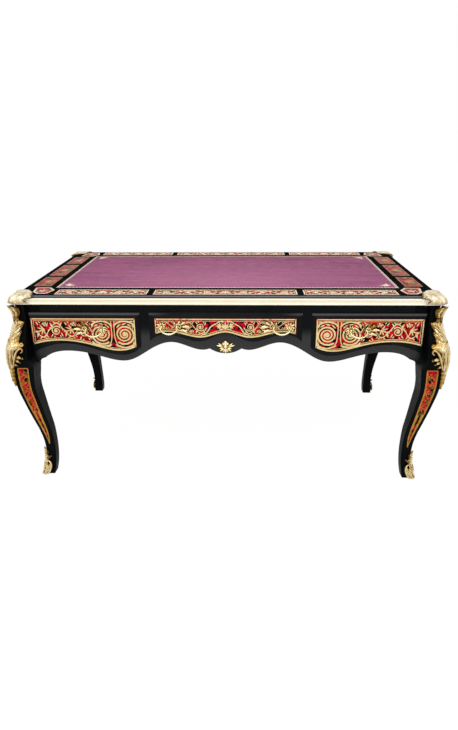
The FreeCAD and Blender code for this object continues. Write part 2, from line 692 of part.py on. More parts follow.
def runner_places():
    """Wall, guide face, seat edge and seat height of the three right-hand runners."""
    half = DIVIDER_THICKNESS / 2
    return [(STILE_CENTRE - half, STILE_INNER, STILE_INNER - RUNNER_SEAT, CENTRE_OPENING_BOTTOM),
            (STILE_CENTRE + half, STILE_OUTER, STILE_OUTER + RUNNER_SEAT, SIDE_OPENING_BOTTOM),
            (POST_INNER, POST_INNER - OUTER_GUIDE_THICKNESS,
             POST_INNER - OUTER_GUIDE_THICKNESS - RUNNER_SEAT, SIDE_OPENING_BOTTOM)]


def fixing_places():
    """Centres of the glue blocks under the top, with the half sizes along X and Y."""
    length = BLOCK_LENGTH / 2
    depth = BLOCK_DEPTH / 2
    places = []
    for end in (-1, 1):
        for share in (-BLOCK_PLACE_SHARE, 0, BLOCK_PLACE_SHARE):
            places.append((share * POST_INNER, -end * (RAIL_BACK + depth), length, depth))
    for side in (-1, 1):
        places.append((side * (FRAME_SIDE - BOARD_THICKNESS - depth), 0, depth, length))
    return places


def screw(x, y, clearance):
    """A wood screw pointing up through a glue block, grown by a clearance."""
    low = UNDERSIDE - BLOCK_HEIGHT
    length = BLOCK_HEIGHT + SCREW_BITE + clearance
    shank = Part.makeCylinder(SCREW_RADIUS + clearance, length, Vector(x, y, low))
    head = Part.makeCylinder(SCREW_HEAD_RADIUS + clearance, SCREW_HEAD_HEIGHT, Vector(x, y, low))
    return head.fuse(shank)


# Drawers


def drawer_box(left, right, bottom):
    """Sides, back and bottom of a drawer box, with the bottom let into grooves in the sides and front."""
    top = OPENING_TOP - SLIDE_CLEARANCE
    low = bottom + RUN_CLEARANCE
    inner_left = left + DRAWER_SIDE
    inner_right = right - DRAWER_SIDE
    inner_back = BOX_BACK - DRAWER_BACK
    floor = block(inner_left - BOTTOM_GROOVE, inner_right + BOTTOM_GROOVE,
                  TONGUE_BACK - BOTTOM_GROOVE, inner_back,
                  low + BOTTOM_LIFT, low + BOTTOM_LIFT + DRAWER_BOTTOM)
    sides = [block(left, inner_left, TONGUE_BACK, BOX_BACK, low, top).cut(floor),
             block(inner_right, right, TONGUE_BACK, BOX_BACK, low, top).cut(floor)]
    back = block(inner_left, inner_right, inner_back, BOX_BACK, low, top)
    return sides, back, floor


def tongue(left, right, bottom):
    """The part of a drawer's front that goes into the opening."""
    return block(left, right, FRONT_BACK, TONGUE_BACK, bottom + RUN_CLEARANCE, OPENING_TOP - SLIDE_CLEARANCE)


def leaf_outline(start, finish, width):
    """A pointed leaf between two points, with curved sides."""
    along = finish - start
    across = Vector(-along.z, 0, along.x).normalize() * (width / 2)
    middle = (start + finish) * 0.5
    edges = [Part.Arc(start, middle + across, finish).toShape(),
             Part.Arc(finish, middle - across, start).toShape()]
    return Part.Wire(edges)


def pull(place, height):
    """One cast pull: rosette at the place, then bow and leaf along +X."""
    face = PANEL_FACE
    outward = Vector(0, -1, 0)
    rosette = Part.makeCylinder(PULL_ROSETTE_RADIUS, PULL_PLATE, Vector(place, face, height), outward)
    far = place + PULL_BOW_SPAN
    leaf_start = Vector(far - PULL_ROSETTE_RADIUS, face, height)
    leaf_end = Vector(leaf_start.x + PULL_LEAF_LENGTH, face, height)
    leaf = upright(extruded(leaf_outline(leaf_start, leaf_end, PULL_LEAF_WIDTH), -PULL_PLATE))
    posts = []
    for x in (place, far):
        posts.append(Part.makeCylinder(PULL_BOW_RADIUS, PULL_STAND, Vector(x, face, height), outward))
        posts.append(Part.makeSphere(PULL_BOW_RADIUS, Vector(x, face - PULL_STAND, height)))
    centre = Vector((place + far) / 2, face - PULL_STAND, height)
    ring = Part.makeTorus(PULL_BOW_SPAN / 2, PULL_BOW_RADIUS, centre, outward)
    lower = block(centre.x - PULL_BOW_SPAN, centre.x + PULL_BOW_SPAN, centre.y - PULL_BOW_SPAN,
                  centre.y + PULL_BOW_SPAN, height - PULL_BOW_SPAN, height)
    bow = ring.common(lower)
    bow.rotate(centre, Vector(1, 0, 0), -PULL_BOW_TILT)
    return rosette.fuse([leaf, bow] + posts).removeSplitter()


def pull_bolt(x, height, clearance):
    """A bolt from the back of a pull through the drawer's front."""
    length = TONGUE_BACK - PANEL_FACE + PULL_NUT_HEIGHT + PULL_BOLT_SPARE
    return Part.makeCylinder(PULL_BOLT_RADIUS + clearance, length, Vector(x, PANEL_FACE, height),
                             Vector(0, 1, 0))


def bolt_with_nut(x, height):
    """A pull's bolt with its six-sided nut inside the drawer."""
    corners = [Vector(x + PULL_NUT_RADIUS * math.cos(math.radians(60 * k)), TONGUE_BACK,
                      height + PULL_NUT_RADIUS * math.sin(math.radians(60 * k))) for k in range(6)]
    nut = Part.Face(Part.makePolygon(corners + corners[:1])).extrude(Vector(0, PULL_NUT_HEIGHT, 0))
    return pull_bolt(x, height, 0).fuse(upright(nut)).removeSplitter()


def write_drawer(name, raised, panel, left, right, bottom, pulls, bolts):
    """Write every piece of one drawer; bolts holds the x and height of each pull's bolts."""
    sides, back, floor = drawer_box(left, right, bottom)
    holes = [pull_bolt(x, height, HOLE_CLEARANCE) for x, height in bolts]
    front = raised.fuse(tongue(left, right, bottom)).removeSplitter().cut(holes + [floor])
    save(name + "_front", front)
    save(name + "_marquetry", panel.cut(holes))
    save(name + "_sides", *sides)
    save(name + "_back", back)
    save(name + "_bottom", floor)
    save(name + "_pull", *pulls)
    save(name + "_pull_bolts", *[bolt_with_nut(x, height) for x, height in bolts])


def apron_shell():
    """The lobed shell on the front apron, with a boss in its middle."""
    middle = UNDERSIDE - APRON_DROP * APRON_LOBE_SHARE + SHELL_LIFT + SHELL_HEIGHT / 2

    def rim(turn, share):
        angle = 2 * math.pi * turn / SHELL_LOBE_COUNT + math.pi / 2
        x = SHELL_WIDTH / 2 * share * math.cos(angle)
        return Vector(x, FRAME_FRONT, middle + SHELL_HEIGHT / 2 * share * math.sin(angle))

    edges = []
    for lobe in range(SHELL_LOBE_COUNT):
        first = rim(lobe - 0.5, SHELL_VALLEY_SHARE)
        last = rim(lobe + 0.5, SHELL_VALLEY_SHARE)
        edges.append(Part.Arc(first, rim(lobe, 1), last).toShape())
    plate = upright(extruded(Part.Wire(edges), -SHELL_THICKNESS))
    centre = Vector(0, FRAME_FRONT - SHELL_THICKNESS, middle)
    boss = Part.makeCone(SHELL_BOSS_RADIUS, SHELL_BOSS_RADIUS / 2, SHELL_BOSS_RISE, centre, Vector(0, -1, 0))
    return plate.fuse(boss).removeSplitter()


CORNERS = [(-1, -1), (1, -1), (-1, 1), (1, 1)]
CORNER_NAMES = ["front_left", "front_right", "back_left", "back_right"]


def write_top():
    """Write the top, its leather and inlays, the brass edge, the corner mounts and the fixings."""
    inlays = top_inlays()
    leather = leather_block()
    places = fixing_places()
    holes = [screw(x, y, HOLE_CLEARANCE) for x, y, _, _ in places]
    save("top_board", top_board(inlays, leather).cut(holes))
    save("leather_inset", leather)
    save("top_marquetry", *inlays)
    long_strip = brass_strip(2 * BOARD_HALF_WIDTH, BOARD_HALF_DEPTH)
    short_strip = brass_strip(2 * BOARD_HALF_DEPTH, BOARD_HALF_WIDTH)
    save("brass_edge_front", long_strip)
    save("brass_edge_back", turned(long_strip))
    save("brass_edge_right", quarter_turned(short_strip))
    save("brass_edge_left", turned(quarter_turned(short_strip)))
    for name, (side, end) in zip(CORNER_NAMES, CORNERS):
        save("corner_mount_" + name, corner_mount(side, end))
    blocks = [block(x - a, x + a, y - b, y + b, UNDERSIDE - BLOCK_HEIGHT, UNDERSIDE) for x, y, a, b in places]
    save("top_fixing_blocks", *[solid.cut(holes) for solid in blocks])
    save("top_fixing_screws", *[screw(x, y, 0) for x, y, _, _ in places])


def write_legs():
    """Write the legs with their inlays, knee mounts and shoes."""
    inlays = []
    for name, (side, end) in zip(CORNER_NAMES, CORNERS):
        save("leg_" + name, leg(side, end))
        save("knee_mount_" + name, knee_mount(side, end))
        save("shoe_" + name, shoe(side, end))
        inlays += leg_inlays(side, end)
    save("leg_marquetry", *inlays)


def write_case():
    """Write the rails, aprons, uprights, runners and the fixed panels."""
    save("front_top_rail", block(-POST_INNER, POST_INNER, FRAME_FRONT, RAIL_BACK, OPENING_TOP, UNDERSIDE))
    save("front_apron", front_apron())
    save("front_stiles", stile(), mirrored(stile()))
    save("back_apron", back_apron())
    save("end_apron_right", end_apron())
    save("end_apron_left", turned(end_apron()))
    save("end_panels", end_raised(), turned(end_raised()))
    shams = [turned(solid) for solid in (side_raised(FRAME_FRONT), centre_raised(FRAME_FRONT))]
    save("back_sham_fronts", *shams, mirrored(shams[0]))
    panels = [turned(solid) for solid in (upright(side_panel()), upright(centre_panel()))]
    save("case_marquetry", *panels, mirrored(panels[0]), end_marquetry(), turned(end_marquetry()))
    save("drawer_dividers", divider(), mirrored(divider()))
    runners = [runner(*place) for place in runner_places()]
    save("drawer_runners", *runners, *[mirrored(solid) for solid in runners])
    kickers = [kicker(wall, seat) for wall, _, seat, _ in runner_places()]
    save("drawer_kickers", *kickers, *[mirrored(solid) for solid in kickers])
    shell = apron_shell()
    save("apron_shells", shell, turned(shell))


def write_drawers():
    """Write the three drawers."""
    left = STILE_OUTER + SLIDE_CLEARANCE
    right = SIDE_BOX_OUTER
    half = STILE_INNER - SLIDE_CLEARANCE
    solid = side_raised(FRONT_BACK)
    panel = upright(side_panel())
    side_pull = pull(SIDE_PULL_PLACE, SIDE_PULL_HEIGHT)
    bolts = [(x, SIDE_PULL_HEIGHT) for x in (SIDE_PULL_PLACE, SIDE_PULL_PLACE + PULL_BOW_SPAN)]
    write_drawer("drawer_right", solid, panel, left, right, SIDE_OPENING_BOTTOM, [side_pull], bolts)
    write_drawer("drawer_left", mirrored(solid), mirrored(panel), -right, -left, SIDE_OPENING_BOTTOM,
                 [mirrored(side_pull)], [(-x, height) for x, height in bolts])
    middle_pull = pull(-CENTRE_PULL_PLACE, CENTRE_PULL_HEIGHT)
    places = (CENTRE_PULL_PLACE, CENTRE_PULL_PLACE - PULL_BOW_SPAN)
    bolts = [(sign * x, CENTRE_PULL_HEIGHT) for sign in (-1, 1) for x in places]
    write_drawer("drawer_centre", centre_raised(FRONT_BACK), upright(centre_panel()), -half, half,
                 CENTRE_OPENING_BOTTOM, [middle_pull, mirrored(middle_pull)], bolts)


os.makedirs("parts", exist_ok=True)
write_top()
write_legs()
write_case()
write_drawers()
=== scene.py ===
"""Writing table with brass and shell marquetry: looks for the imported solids, in one shared frame."""

import logging
import math
from dataclasses import dataclass, field
from enum import Enum
from typing import Callable, Optional, Sequence

import bmesh
import bpy
from mathutils import Matrix, Vector, noise
from mathutils.bvhtree import BVHTree
from mathutils.kdtree import KDTree


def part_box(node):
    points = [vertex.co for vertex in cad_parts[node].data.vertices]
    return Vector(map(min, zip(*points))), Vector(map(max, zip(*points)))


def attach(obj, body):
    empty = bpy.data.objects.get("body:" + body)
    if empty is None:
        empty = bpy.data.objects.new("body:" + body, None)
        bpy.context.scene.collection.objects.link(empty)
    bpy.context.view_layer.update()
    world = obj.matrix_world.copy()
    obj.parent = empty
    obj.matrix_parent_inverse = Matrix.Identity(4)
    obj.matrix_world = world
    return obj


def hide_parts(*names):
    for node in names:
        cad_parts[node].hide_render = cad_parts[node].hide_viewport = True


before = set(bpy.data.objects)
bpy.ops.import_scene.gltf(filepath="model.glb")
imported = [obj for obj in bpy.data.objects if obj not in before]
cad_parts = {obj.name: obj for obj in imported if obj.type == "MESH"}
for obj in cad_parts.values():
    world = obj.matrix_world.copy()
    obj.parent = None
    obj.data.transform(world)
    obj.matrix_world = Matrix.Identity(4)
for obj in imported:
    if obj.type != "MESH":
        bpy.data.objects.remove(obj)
log = logging.getLogger("writing_table")

MM = 0.001
NOWHERE = (0.0, 0.0, 0.0)
EVEN = (1.0, 1.0, 1.0)
WHITE = (1.0, 1.0, 1.0, 1.0)

Colour = tuple[float, float, float, float]
Pair = tuple[float, float]
Triple = tuple[float, float, float]
StrokePoint = tuple[float, float, float, float]
Axis = Callable[[float], Triple]
Shape = Callable[[float, float], Sequence[float]]
Material = bpy.types.Material
Mesh = bpy.types.Mesh
Node = bpy.types.Node
Object = bpy.types.Object
Socket = bpy.types.NodeSocket


class Slot(Enum):
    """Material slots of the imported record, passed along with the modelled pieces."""

    LACQUER = "lacquer"
    LEATHER = "leather"
    BRASS = "brass"
    GILT = "gilt"


class Way(Enum):
    """Directions that a flat face of the table looks in."""

    FRONT = (0, -1, 0)
    BACK = (0, 1, 0)
    LEFT = (-1, 0, 0)
    RIGHT = (1, 0, 0)
    UP = (0, 0, 1)


# Small helpers


def linear(code: str) -> Colour:
    """A colour written as six hex digits, in linear light."""
    values = [int(code[i:i + 2], 16) / 255 for i in (0, 2, 4)]
    red, green, blue = [v / 12.92 if v < 0.04045 else ((v + 0.055) / 1.055) ** 2.4 for v in values]
    return (red, green, blue, 1.0)


def clamped(value: float) -> float:
    """A value held between 0 and 1."""
    return min(max(value, 0.0), 1.0)


def looked_up(place: float, table: Sequence[Pair]) -> float:
    """A value from a table of places and values.

    Args:
        place: where to read the table; held inside its ends.
        table: pairs of place and value, in rising order.

    Returns:
        The value, in a straight line between neighbours.
    """
    if place <= table[0][0]:
        return table[0][1]
    for (a, va), (b, vb) in zip(table, table[1:]):
        if place <= b:
            return va + (vb - va) * (place - a) / (b - a)
    return table[-1][1]


def curve_through(points: Sequence[Sequence[float]], per_span: int = 6) -> list[list[float]]:
    """Points of a smooth curve through a few given ones.

    Args:
        points: the given points, with any number of values each.
        per_span: how many points each span gets.

    Returns:
        The points of the curve.
    """
    last = len(points) - 1
    out = []
    for i in range(last):
        four = [points[min(max(i + k, 0), last)] for k in (-1, 0, 1, 2)]
        for step in range(per_span):
            t = step / per_span
            weights = ((-t + 2 * t * t - t ** 3) / 2, (2 - 5 * t * t + 3 * t ** 3) / 2,
                       (t + 4 * t * t - 3 * t ** 3) / 2, (t ** 3 - t * t) / 2)
            out.append([sum(w * p[k] for w, p in zip(weights, four)) for k in range(len(points[0]))])
    return out + [list(points[-1])]


def linked(name: str, data: bpy.types.ID) -> Object:
    """A new object in the scene with the given data."""
    obj = bpy.data.objects.new(name, data)
    bpy.context.scene.collection.objects.link(obj)
    return obj


def only(obj: Object) -> None:
    """Select one object and make it active."""
    bpy.ops.object.select_all(action="DESELECT")
    obj.select_set(True)
    bpy.context.view_layer.objects.active = obj


def joined(objects: Sequence[Object], name: str) -> Object:
    """Join objects into one.

    Args:
        objects: the objects, of which the first keeps its data.
        name: the name of the joined piece.

    Returns:
        The joined object.
    """
    only(objects[0])
    for obj in objects[1:]:
        obj.select_set(True)
    if len(objects) > 1:
        bpy.ops.object.join()
    objects[0].name = name
    objects[0].data.name = name
    return objects[0]


def apply_modifier(obj: Object, kind: str, **settings: object) -> None:
    """Add one modifier to an object, set it and apply it.

    Args:
        obj: the mesh object.
        kind: the modifier type.
        settings: values of the modifier.
    """
    only(obj)
    modifier = obj.modifiers.new(kind.title(), kind)
    for key, value in settings.items():
        setattr(modifier, key, value)
    bpy.ops.object.modifier_apply(modifier=modifier.name)


def settle(obj: Object, angle: float = 45) -> None:
    """Turn a piece's faces outwards and shade it smooth up to an angle in degrees."""
    only(obj)
    bpy.ops.object.mode_set(mode="EDIT")
    bpy.ops.mesh.select_all(action="SELECT")
    bpy.ops.mesh.normals_make_consistent(inside=False)
    bpy.ops.object.mode_set(mode="OBJECT")
    bpy.ops.object.shade_smooth_by_angle(angle=math.radians(angle))


def place(obj: Object, body: str, slot: Slot, finish: Material, *nodes: str) -> Object:
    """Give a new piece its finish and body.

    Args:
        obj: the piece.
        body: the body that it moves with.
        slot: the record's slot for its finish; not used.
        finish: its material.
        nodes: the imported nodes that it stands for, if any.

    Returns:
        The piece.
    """
    obj.data.materials.clear()
    obj.data.materials.append(finish)
    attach(obj, body)
    if nodes:
        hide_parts(*nodes)
    log.info("%s: %d faces, rides on %s", obj.name, len(obj.data.polygons), body)
    return obj


def dress(finish: Material, *names: str) -> None:
    """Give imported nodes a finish."""
    for name in names:
        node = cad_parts[name]
        if not node.material_slots:
            node.data.materials.append(finish)
        for slot in node.material_slots:
            slot.material = finish
        log.info("%s: dressed in %s", name, finish.name)


# Node trees


class Tree:
    """A node tree that is filled by short calls."""

    def __init__(self, tree: bpy.types.NodeTree) -> None:
        """Keep the tree."""
        self.tree = tree

    def feed(self, node: Node, sockets: dict) -> None:
        """Set or link a node's inputs, by name or number."""
        for key, value in sockets.items():
            if isinstance(value, Socket):
                self.tree.links.new(value, node.inputs[key])
            else:
                node.inputs[key].default_value = value

    def add(self, kind: str, sockets: Optional[dict] = None, **settings: object) -> Node:
        """Add a node.

        Args:
            kind: the node's type.
            sockets: values or output sockets for its inputs, by name or number.
            settings: properties of the node itself.

        Returns:
            The node.
        """
        node = self.tree.nodes.new(kind)
        for key, value in settings.items():
            setattr(node, key, value)
        self.feed(node, sockets or {})
        return node

    def ramp(self, factor: Socket, stops: Sequence[tuple[float, Colour]]) -> Socket:
        """The colour of a ramp with stops at a few places."""
        node = self.add("ShaderNodeValToRGB", {"Fac": factor})
        elements = node.color_ramp.elements
        while len(elements) < len(stops):
            elements.new(0.5)
        for element, (spot, colour) in zip(elements, stops):
            element.position = spot
            element.color = colour
        return node.outputs["Color"]

    def mix(self, factor: Socket, first: object, second: object) -> Socket:
        """A mix of two colours, given as colours or sockets."""
        return self.add("ShaderNodeMix", {0: factor, 6: first, 7: second}, data_type="RGBA").outputs[2]

    def maths(self, operation: str, *values: object) -> Socket:
        """The result of one Math node."""
        return self.add("ShaderNodeMath", dict(enumerate(values)), operation=operation).outputs[0]

    def vectors(self, operation: str, *values: object) -> bpy.types.NodeOutputs:
        """The outputs of one Vector Math node."""
        return self.add("ShaderNodeVectorMath", dict(enumerate(values)), operation=operation).outputs

    def clouds(self, vector: Socket, scale: object, detail: float, roughness: float) -> Socket:
        """The value of one Noise node."""
        sockets = {"Vector": vector, "Scale": scale, "Detail": detail, "Roughness": roughness}
        return self.add("ShaderNodeTexNoise", sockets).outputs["Fac"]

    def spread(self, value: Socket, limits: Pair, low: object = 0.0, high: object = 1.0,
               **settings: object) -> Socket:
        """A value moved from one range to another.

        Args:
            value: the value.
            limits: the range that it is read in.
            low: the result at the first limit.
            high: the result at the second limit.
            settings: properties of the node.

        Returns:
            The result.
        """
        sockets = {"Value": value, "From Min": limits[0], "From Max": limits[1],
                   "To Min": low, "To Max": high}
        return self.add("ShaderNodeMapRange", sockets, **settings).outputs["Result"]


class Effects:
    """Node groups that several finishes share, each built once."""

    def __init__(self) -> None:
        """Build the groups."""
        self.mottle = self.build_mottle()
        self.grain = self.build_grain()

    def group(self, name: str, output: str, **inputs: object) -> tuple[Tree, bpy.types.NodeOutputs]:
        """An empty group with one value output.

        Args:
            name: the group's name.
            output: the name of its output.
            inputs: the default of each input; three numbers make a vector.

        Returns:
            The tree, and the sockets of its input node.
        """
        tree = bpy.data.node_groups.new(name, "ShaderNodeTree")
        for label, default in inputs.items():
            kind = "NodeSocketVector" if isinstance(default, tuple) else "NodeSocketFloat"
            tree.interface.new_socket(name=label, in_out="INPUT", socket_type=kind).default_value = default
        tree.interface.new_socket(name=output, in_out="OUTPUT", socket_type="NodeSocketFloat")
        nodes = Tree(tree)
        return nodes, nodes.add("NodeGroupInput").outputs

    def build_mottle(self) -> bpy.types.NodeTree:
        """Soft cloudy change between a low and a high value."""
        nodes, entry = self.group("soft_mottle", "Value", Vector=NOWHERE, Scale=30.0, Low=0.0, High=1.0)
        cloud = nodes.clouds(entry["Vector"], entry["Scale"], 5.0, 0.6)
        nodes.add("NodeGroupOutput", {"Value": nodes.spread(cloud, (0.3, 0.7), entry["Low"], entry["High"])})
        return nodes.tree

    def build_grain(self) -> bpy.types.NodeTree:
        """Fine scratches or fibres drawn out along one axis."""
        nodes, entry = self.group("drawn_grain", "Height", Vector=NOWHERE, Stretch=EVEN, Scale=200.0)
        drawn = nodes.vectors("MULTIPLY", entry["Vector"], entry["Stretch"])[0]
        nodes.add("NodeGroupOutput", {"Height": nodes.clouds(drawn, entry["Scale"], 4.0, 0.65)})
        return nodes.tree


class Surface(Tree):
    """The tree of a material, with the effects that finishes share."""

    def __init__(self, tree: bpy.types.NodeTree, effects: Effects) -> None:
        """Keep the tree and the effects, and read the object's coordinates."""
        super().__init__(tree)
        self.effects = effects
        self.coords = self.add("ShaderNodeTexCoord").outputs["Object"]

    def mottled(self, scale: float, low: float, high: float) -> Socket:
        """A mottled value between two limits."""
        sockets = {"Vector": self.coords, "Scale": scale, "Low": low, "High": high}
        return self.add("ShaderNodeGroup", sockets, node_tree=self.effects.mottle).outputs["Value"]

    def grained(self, stretch: Triple, scale: float) -> Socket:
        """A drawn-out grain height."""
        sockets = {"Vector": self.coords, "Stretch": stretch, "Scale": scale}
        return self.add("ShaderNodeGroup", sockets, node_tree=self.effects.grain).outputs["Height"]

    def bump(self, height: Socket, strength: float, distance: float) -> Socket:
        """The normal of a surface raised by a height."""
        sockets = {"Height": height, "Strength": strength, "Distance": distance}
        return self.add("ShaderNodeBump", sockets).outputs["Normal"]


@dataclass(frozen=True)
class Finish:
    """A surface finish; each kind gives the inputs of its own shader."""

    name: str
    effects: Effects

    def material(self) -> Material:
        """Build the material."""
        material = bpy.data.materials.new(self.name)
        material.use_nodes = True
        nodes = Surface(material.node_tree, self.effects)
        nodes.feed(material.node_tree.nodes["Principled BSDF"], self.inputs(nodes))
        return material

    def inputs(self, nodes: Surface) -> dict[str, object]:
        """The values and sockets for the shader's inputs."""
        raise NotImplementedError


@dataclass(frozen=True)
class LacquerFinish(Finish):
    """Black polished lacquer with faint clouds in its gloss."""

    dark: str = "0a0b0c"
    light: str = "131416"
    coat_low: float = 0.05
    coat_high: float = 0.08
    specular: float = 0.02

    def tone(self, nodes: Surface) -> Socket:
        """The clouded black."""
        return nodes.mix(nodes.mottled(9.0, 0.0, 1.0), linear(self.dark), linear(self.light))

    def inputs(self, nodes: Surface) -> dict[str, object]:
        """Black under a thin clear coat."""
        return {"Base Color": self.tone(nodes),
                "Roughness": nodes.mottled(42.0, 0.30, 0.45),
                "Coat Weight": nodes.mottled(17.0, self.coat_low, self.coat_high),
                "Specular IOR Level": self.specular,
                "Coat Roughness": 0.10,
                "Normal": nodes.bump(nodes.grained(EVEN, 120.0), 0.03, 0.0004)}


@dataclass(frozen=True)
class PaintedSheenLacquer(LacquerFinish):
    """Black lacquer with a painted sheen: a lighter grey painted into its colour over ranges of the height
    and of the distance from the middle, standing in for highlights and for the light that lower parts catch.
    """

    # painted_sheen is the grey of the painted highlight; each pair gives where it is absent and where it is
    # full.
    painted_sheen: str = "39393a"
    rise: Pair = (-2.0, -1.0)
    fall: Pair = (0.665, 0.612)
    inward: Pair = (3.0, 2.0)

    def tone(self, nodes: Surface) -> Socket:
        """The clouded black, mixed with the painted sheen."""
        axes = nodes.add("ShaderNodeSeparateXYZ", {"Vector": nodes.coords}).outputs
        out = nodes.maths("ABSOLUTE", axes["X"])
        steps = [nodes.spread(value, limits, interpolation_type="SMOOTHSTEP")
                 for value, limits in ((axes["Z"], self.rise), (axes["Z"], self.fall), (out, self.inward))]
        share = nodes.maths("MULTIPLY", nodes.maths("MULTIPLY", steps[0], steps[1]), steps[2])
        return nodes.mix(share, super().tone(nodes), linear(self.painted_sheen))


@dataclass(frozen=True)
class MetalFinish(Finish):
    """Yellow metal with fine scratches, its tone set by the relief value where it has one: brighter on high
    parts and on faces turned out from the ground, a painted highlight, and darker on slopes and in hollows,
    painted shade with patina in the hollows.
    """

    low: str = "664510"
    middle: str = "ab8743"
    high: str = "f0e3b8"
    rough_low: float = 0.20
    rough_high: float = 0.38
    by_relief: bool = True
    metallic: float = 1.0
    scratches: float = 0.12
    clouds: float = 0.16

    def inputs(self, nodes: Surface) -> dict[str, object]:
        """Three tones by the relief value, which paints highlight and shade into the colour, or by clouds
        where there is no relief.
        """
        cloud = nodes.mottled(60.0, -self.clouds, self.clouds)
        if self.by_relief:
            height = nodes.add("ShaderNodeAttribute", attribute_name="relief").outputs["Fac"]
        else:
            height = nodes.mottled(14.0, 0.55, 0.8)
        stops = [(0.18, linear(self.low)), (0.54, linear(self.middle)), (0.95, linear(self.high))]
        return {"Base Color": nodes.ramp(nodes.maths("ADD", height, cloud), stops),
                "Roughness": nodes.mottled(90.0, self.rough_low, self.rough_high),
                "Metallic": self.metallic,
                "Normal": nodes.bump(nodes.grained((1.0, 1.0, 2.5), 420.0), self.scratches, 0.0006)}


@dataclass(frozen=True)
class ShellFinish(Finish):
    """Red shell ground with dark clouds, under a clear polish."""

    red: str = "d20a26"
    deep: str = "a3051a"
    black: str = "0c0707"

    def inputs(self, nodes: Surface) -> dict[str, object]:
        """Red with sharp dark spots."""
        red = nodes.mix(nodes.mottled(34.0, 0.0, 1.0), linear(self.deep), linear(self.red))
        spots = nodes.spread(nodes.clouds(nodes.coords, 40.0, 2.0, 0.5), (0.525, 0.54))
        return {"Base Color": nodes.mix(spots, red, linear(self.black)),
                "Roughness": nodes.mottled(50.0, 0.22, 0.36),
                "Specular IOR Level": 0.03,
                "Normal": nodes.bump(nodes.grained(EVEN, 220.0), 0.08, 0.0005)}


@dataclass(frozen=True)
class LeatherFinish(Finish):
    """Plum leather with a pebbled grain and streaks along the table, paler about one place towards the front,
    partly wear and partly a painted sheen.
    """

    plum: str = "80315d"
    pale: str = "a54b78"
    wear_and_sheen: str = "ca7aa2"
    pit: str = "5f2c52"
    wear_and_sheen_middle: Triple = (0.0, -0.22, 0.8)
    wear_and_sheen_reach: Triple = (0.80, 0.50, 1.0)
    wear_and_sheen_most: float = 0.62

    def inputs(self, nodes: Surface) -> dict[str, object]:
        """Streaked plum, paler about one place as wear and painted sheen, with darker pits between the
        pebbles.
        """
        streak = nodes.grained((1.0, 14.0, 1.0), 3.2)
        cloud = nodes.mottled(5.0, -0.25, 0.25)
        level = nodes.maths("ADD", nodes.maths("MULTIPLY_ADD", streak, 3.4, -1.2), cloud)
        cells = nodes.add("ShaderNodeTexVoronoi", {"Vector": nodes.coords, "Scale": 620.0})
        pebbles = cells.outputs["Distance"]
        tone = nodes.mix(level, linear(self.plum), linear(self.pale))
        # The paler patch is partly wear and partly a painted sheen.
        offset = nodes.vectors("SUBTRACT", nodes.coords, self.wear_and_sheen_middle)[0]
        length = nodes.vectors("LENGTH", nodes.vectors("DIVIDE", offset, self.wear_and_sheen_reach)[0])["Value"]
        wear_and_sheen_share = nodes.spread(length, (1.0, 0.1), 0.0, self.wear_and_sheen_most)
        tone = nodes.mix(wear_and_sheen_share, tone, linear(self.wear_and_sheen))
        return {"Base Color": nodes.mix(nodes.maths("MULTIPLY", pebbles, 0.35), tone, linear(self.pit)),
                "Roughness": nodes.mottled(25.0, 0.48, 0.66),
                "Specular IOR Level": 0.2,
                "Normal": nodes.bump(nodes.maths("ADD", pebbles, streak), 0.25, 0.0007)}


@dataclass(frozen=True)
class OakFinish(Finish):
    """Plain oak of the drawer boxes and the hidden frame."""

    pale: str = "b58a58"
    brown: str = "7d5831"
    pore: str = "4a3018"

    def inputs(self, nodes: Surface) -> dict[str, object]:
        """Drawn fibres with dark pores."""
        pores = nodes.grained((5.0, 0.2, 5.0), 190.0)
        tone = nodes.mix(nodes.grained((6.0, 0.35, 6.0), 36.0), linear(self.brown), linear(self.pale))
        dark = nodes.maths("MULTIPLY", nodes.spread(pores, (0.55, 0.7)), 0.45)
        return {"Base Color": nodes.mix(dark, tone, linear(self.pore)),
                "Roughness": nodes.mottled(30.0, 0.5, 0.7),
                "Normal": nodes.bump(pores, 0.2, 0.0006)}


@dataclass(frozen=True)
class SteelFinish(Finish):
    """Plain turned steel of the bolts and screws."""

    grey: str = "8f9296"
    dark: str = "5d5f62"

    def inputs(self, nodes: Surface) -> dict[str, object]:
        """Mottled grey with turning marks."""
        return {"Base Color": nodes.mix(nodes.mottled(220.0, 0.0, 1.0), linear(self.dark), linear(self.grey)),
                "Roughness": nodes.mottled(150.0, 0.28, 0.46),
                "Metallic": 1.0,
                "Normal": nodes.bump(nodes.grained((1.0, 6.0, 1.0), 500.0), 0.15, 0.0003)}


